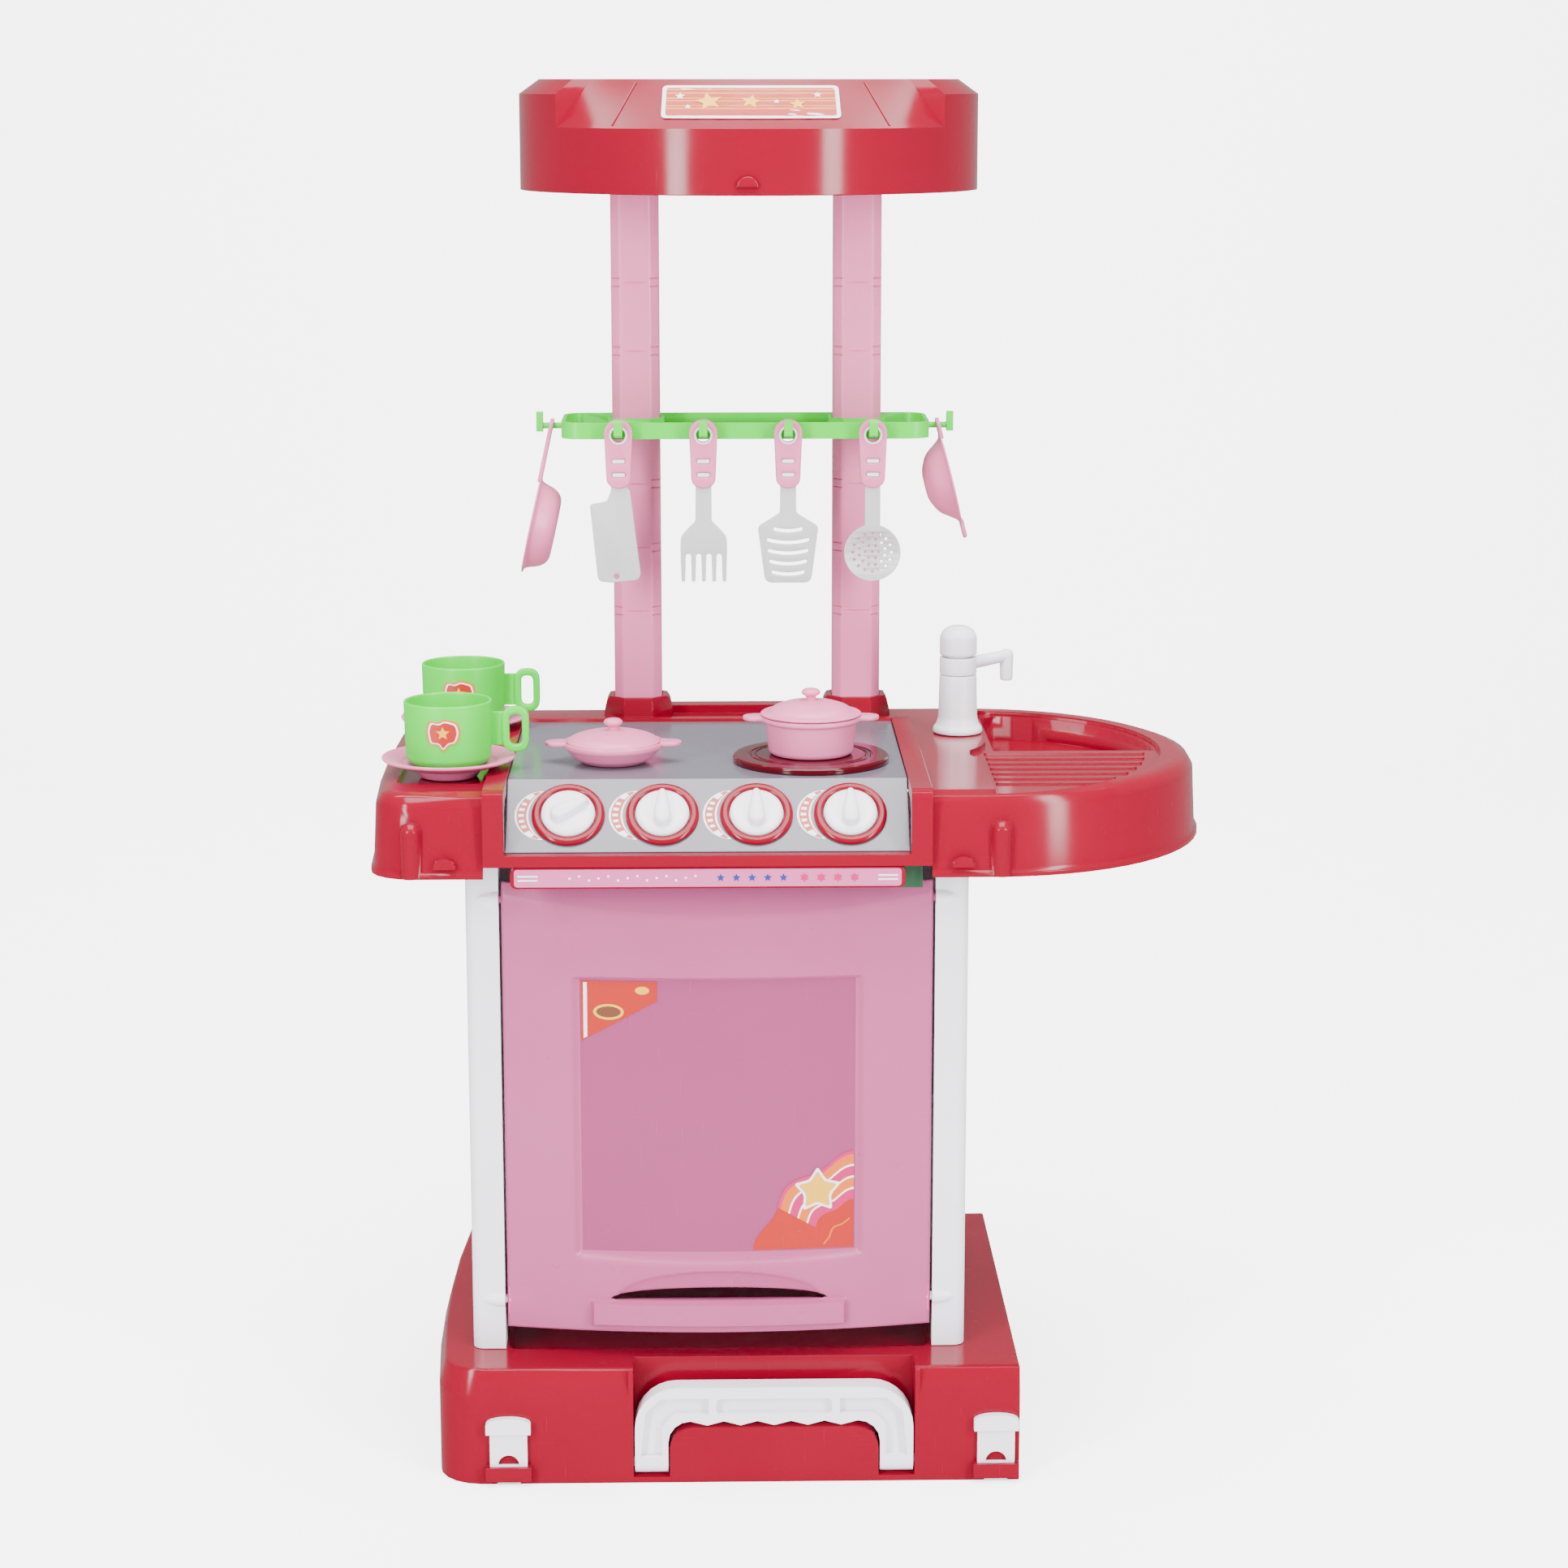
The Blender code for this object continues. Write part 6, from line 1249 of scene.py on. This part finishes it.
def canopy_label():
    """A white-edged card with stripes and stars."""
    width, height = 0.0860, 0.0250
    label("canopy_label_border", "kitchen", "white",
          [fan(dense(rectangle(width, height, 0.003)), on_canopy(0.0002))])
    label("canopy_label_field", "kitchen", "red",
          [fan(dense(rectangle(width - 0.004, height - 0.004, 0.002)), on_canopy(0.0003))])
    stripes = [fan(dense(rectangle(width - 0.004, 0.0014, 0.0002, (0, v))), on_canopy(0.00036))
               for v in (-0.0052, 0.0006, 0.0064)]
    label("canopy_label_stripes", "kitchen", "orange", stripes)
    thin = [fan(dense(rectangle(width - 0.004, 0.0006, 0.0001, (0, v))), on_canopy(0.00040))
            for v in (-0.0034, 0.0024, 0.0088)]
    label("canopy_label_lines", "kitchen", "yellow", thin)
    label("canopy_label_stars", "kitchen", "white",
          [fan(star(size, (u, v)), on_canopy(0.0005), 1) for u, v, size in
           ((-0.034, 0.004, 0.0026), (-0.030, -0.004, 0.0018), (0.032, 0.005, 0.0022), (0.012, 0.0, 0.0016))])
    label("canopy_label_big_stars", "kitchen", "yellow",
          [fan(star(size, (u, v), turn=turn), on_canopy(0.0005), 1) for u, v, size, turn in
           ((-0.020, 0.0, 0.0068, 0.2), (0.0, 0.0, 0.0052, -0.2), (0.022, -0.002, 0.0040, 0.1))])


canopy_label()

# %% Labels on the bar, the slope and the door
def flat_on(y_of, lift):
    """Upright surface whose front is y_of(x): u is world x and v is world z."""
    def place(flat):
        return np.column_stack([flat[:, 0], y_of(flat[:, 0]) - lift, flat[:, 1]])
    return place


def bar_label():
    """A pink strip with end stripes, a row of dots, stars and flowers."""
    low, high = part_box("front_bar")
    middle, height = (low.x + high.x) / 2, high.z - low.z
    z = (low.z + high.z) / 2
    face = low.y
    on_bar = lambda lift: flat_on(lambda x: np.full_like(x, face), lift)
    strip = rectangle(high.x - low.x - 0.004, height - 0.0016, 0.0018, (middle, z))
    label("bar_label_field", "kitchen", "pink", [fan(strip, on_bar(0.00015), 1)])
    ends = []
    for way in (-1, 1):
        for step in (-0.0010, 0.0010):
            ends.append(fan(rectangle(0.0095, 0.0008, 0.0002, (middle + way * 0.0860, z + step)),
                            on_bar(0.00025), 1))
    dots = [fan(oval(0.0012, 0.0012, 12) + np.array([middle + u, z + v]), on_bar(0.00025), 1)
            for u, v in zip(np.linspace(-0.066, -0.006, 14), 0.0012 * np.sin(np.arange(14) * 2.1))]
    label("bar_label_marks", "kitchen", "white", ends + dots)
    label("bar_label_stars", "kitchen", "blue",
          [fan(star(0.0021, (middle + u, z)), on_bar(0.00030), 1) for u in np.linspace(0.006, 0.036, 5)])
    label("bar_label_flower", "kitchen", "magenta",
          [fan(star(0.0023, (middle + u, z), 6, 0.6), on_bar(0.00030), 1)
           for u in np.linspace(0.046, 0.070, 4)])


SCALE_TIP, SCALE_TURN = 0.0184, 0.86


def crescent(centre, low, high, inner, wide, lift):
    """A bent strip to the left of a knob: radius = tip + (inner + t wide) (1 - a^2), angle = a."""
    turn = np.linspace(low, high, 33)
    t = np.linspace(0, 1, 4)[:, None]
    reach = SCALE_TIP + (inner + t * wide) * (1 - (turn / SCALE_TURN) ** 2)
    u, v = reach * np.cos(np.pi + turn), reach * np.sin(np.pi + turn)
    flat = np.stack([u, v, np.full_like(u, lift)], -1).reshape(-1, 3)
    return flat @ np.array(leaning).T + np.array(centre), grid_faces(4, 33)


def knob_scales():
    """A curved scale beside each knob: a red band with pale ticks and end patches."""
    white, red, ticks = [], [], []
    for centre in knob_centres:
        base = np.array(centre) - np.array(leaning @ Vector((0, 0, 0.0003)))
        white.append(crescent(base, -SCALE_TURN, SCALE_TURN, 0.0008, 0.0066, 0.00012))
        red.append(crescent(base, -0.76, 0.76, 0.0017, 0.0047, 0.00020))
        for turn in np.linspace(-0.30, 0.30, 5):
            ticks.append(crescent(base, turn - 0.034, turn + 0.034, 0.0030, 0.0026, 0.00028))
        for turn in (-0.53, 0.53):
            ticks.append(crescent(base, turn - 0.085, turn + 0.085, 0.0026, 0.0044, 0.00028))
    label("knob_scale_borders", "kitchen", "white", white)
    label("knob_scale_bands", "kitchen", "red", red)
    label("knob_scale_ticks", "kitchen", "white", ticks)


def door_face(x):
    """The front of the sunk window."""
    return bulge(x) + WINDOW_SUNK


def window_labels():
    """A card in the upper left corner and a striped burst with a star in the lower right."""
    left, right = DOOR_MIDDLE - WINDOW_HALF + 0.0006, DOOR_MIDDLE + WINDOW_HALF - 0.0006
    top, low = WINDOW_TOP - 0.0008, WINDOW_LOW + 0.0008
    corner = [(left, top), (left, top - 0.0305), (left + 0.0372, top - 0.0098), (left + 0.0372, top)]
    place = lambda lift: flat_on(door_face, lift)
    label("window_corner_card", "door", "red", [fan(dense(corner), place(0.0002), 5)])
    inner = [(left + 0.0012, top - 0.0008), (left + 0.0012, top - 0.0290), (left + 0.0030, top - 0.0282),
             (left + 0.0030, top - 0.0008)]
    label("window_corner_edge", "door", "white", [fan(dense(inner), place(0.0003), 2)])
    label("window_corner_disc", "door", "yellow",
          [fan(oval(0.0150, 0.0080) + np.array([left + 0.0135, top - 0.0155]), place(0.00032), 3),
           fan(oval(0.0070, 0.0040) + np.array([left + 0.0300, top - 0.0045]), place(0.00032), 2)])
    label("window_corner_filling", "door", "brown",
          [fan(oval(0.0120, 0.0056) + np.array([left + 0.0135, top - 0.0155]), place(0.00036), 3)])
    corner = np.array([right, low])
    turn = np.linspace(np.pi / 2, np.pi, 73)
    reach = 0.0475 + 0.0024 * np.cos(8 * turn) - 0.0035 * np.sin(2 * turn) ** 2

    def sector(first, last, inner, outer, colour, lift, name, rows=5):
        """A band round the corner: radius from inner to outer times the wavy reach."""
        held = (turn >= np.radians(first) - 1e-6) & (turn <= np.radians(last) + 1e-6)
        t = np.linspace(inner, outer, rows)[:, None]
        u = corner[0] + t * reach[held] * np.cos(turn[held])
        v = corner[1] + t * reach[held] * np.sin(turn[held])
        grid = np.stack([np.minimum(u, right), v], -1).reshape(-1, 2)
        label(name, "door", colour, [(place(lift)(grid), grid_faces(rows, int(held.sum())))])

    sector(90, 180, 0.0, 1.0, "red", 0.0002, "window_burst_field", 12)
    bands = (("magenta", 0.50, 0.60), ("white", 0.60, 0.62), ("orange", 0.62, 0.72), ("white", 0.72, 0.74),
             ("magenta", 0.74, 0.84), ("white", 0.84, 0.86), ("orange", 0.86, 0.96), ("magenta", 0.96, 1.0))
    for index, (colour, inner, outer) in enumerate(bands):
        sector(90, 150, inner, outer, colour, 0.00030, f"window_burst_band_{index}")
    sector(97.5, 172.5, 0.30, 0.32, "orange", 0.00030, "window_burst_line")
    star_at = (right - 0.0180, low + 0.0300)
    for name, colour, radius, inner, lift in (("window_star_border", "white", 0.0125, 0.56, 0.0005),
                                              ("window_star", "yellow", 0.0104, 0.54, 0.0006)):
        outline = eased(star(radius, star_at, inner=inner), 0.002, True)
        label(name, "door", colour, [fan(outline, place(lift), 3)])


def on_cylinder(centre, radius, height, lift):
    """u runs round the wall from its front and v up it."""
    def place(flat):
        angle = -np.pi / 2 + flat[:, 0] / radius
        reach = radius + lift
        return np.column_stack([centre[0] + reach * np.cos(angle), centre[1] + reach * np.sin(angle),
                                centre[2] + height * 0.56 + flat[:, 1]])
    return place


def cup_badges():
    """A small badge with a star on the front of each cup."""
    shield = eased([(-0.0085, 0.0020), (-0.0070, 0.0070), (-0.0020, 0.0060), (0.0010, 0.0080),
                    (0.0075, 0.0060), (0.0088, 0.0010), (0.0070, -0.0045), (0.0030, -0.0050),
                    (0.0000, -0.0088), (-0.0020, -0.0050), (-0.0070, -0.0050)], 0.0018, closed=True)
    for place, (centre, radius, height) in cups.items():
        wall = lambda lift: on_cylinder(centre, radius - 0.0002, height, lift)
        body = place + "_cup"
        shift = np.array([-0.0010, 0])
        for part, colour, share, lift in (("edge", "orange", 1.0, 0.0002), ("border", "white", 0.88, 0.0003),
                                          ("field", "red", 0.78, 0.0004)):
            outline = dense(shield * share + shift, 2)
            label(f"cup_{place}_badge_{part}", body, colour, [fan(outline, wall(lift))])
        label(f"cup_{place}_badge_star", body, "yellow",
              [fan(star(0.0034, (-0.001, 0.0008)), wall(0.0005), 2)])


bar_label()
knob_scales()
window_labels()
cup_badges()
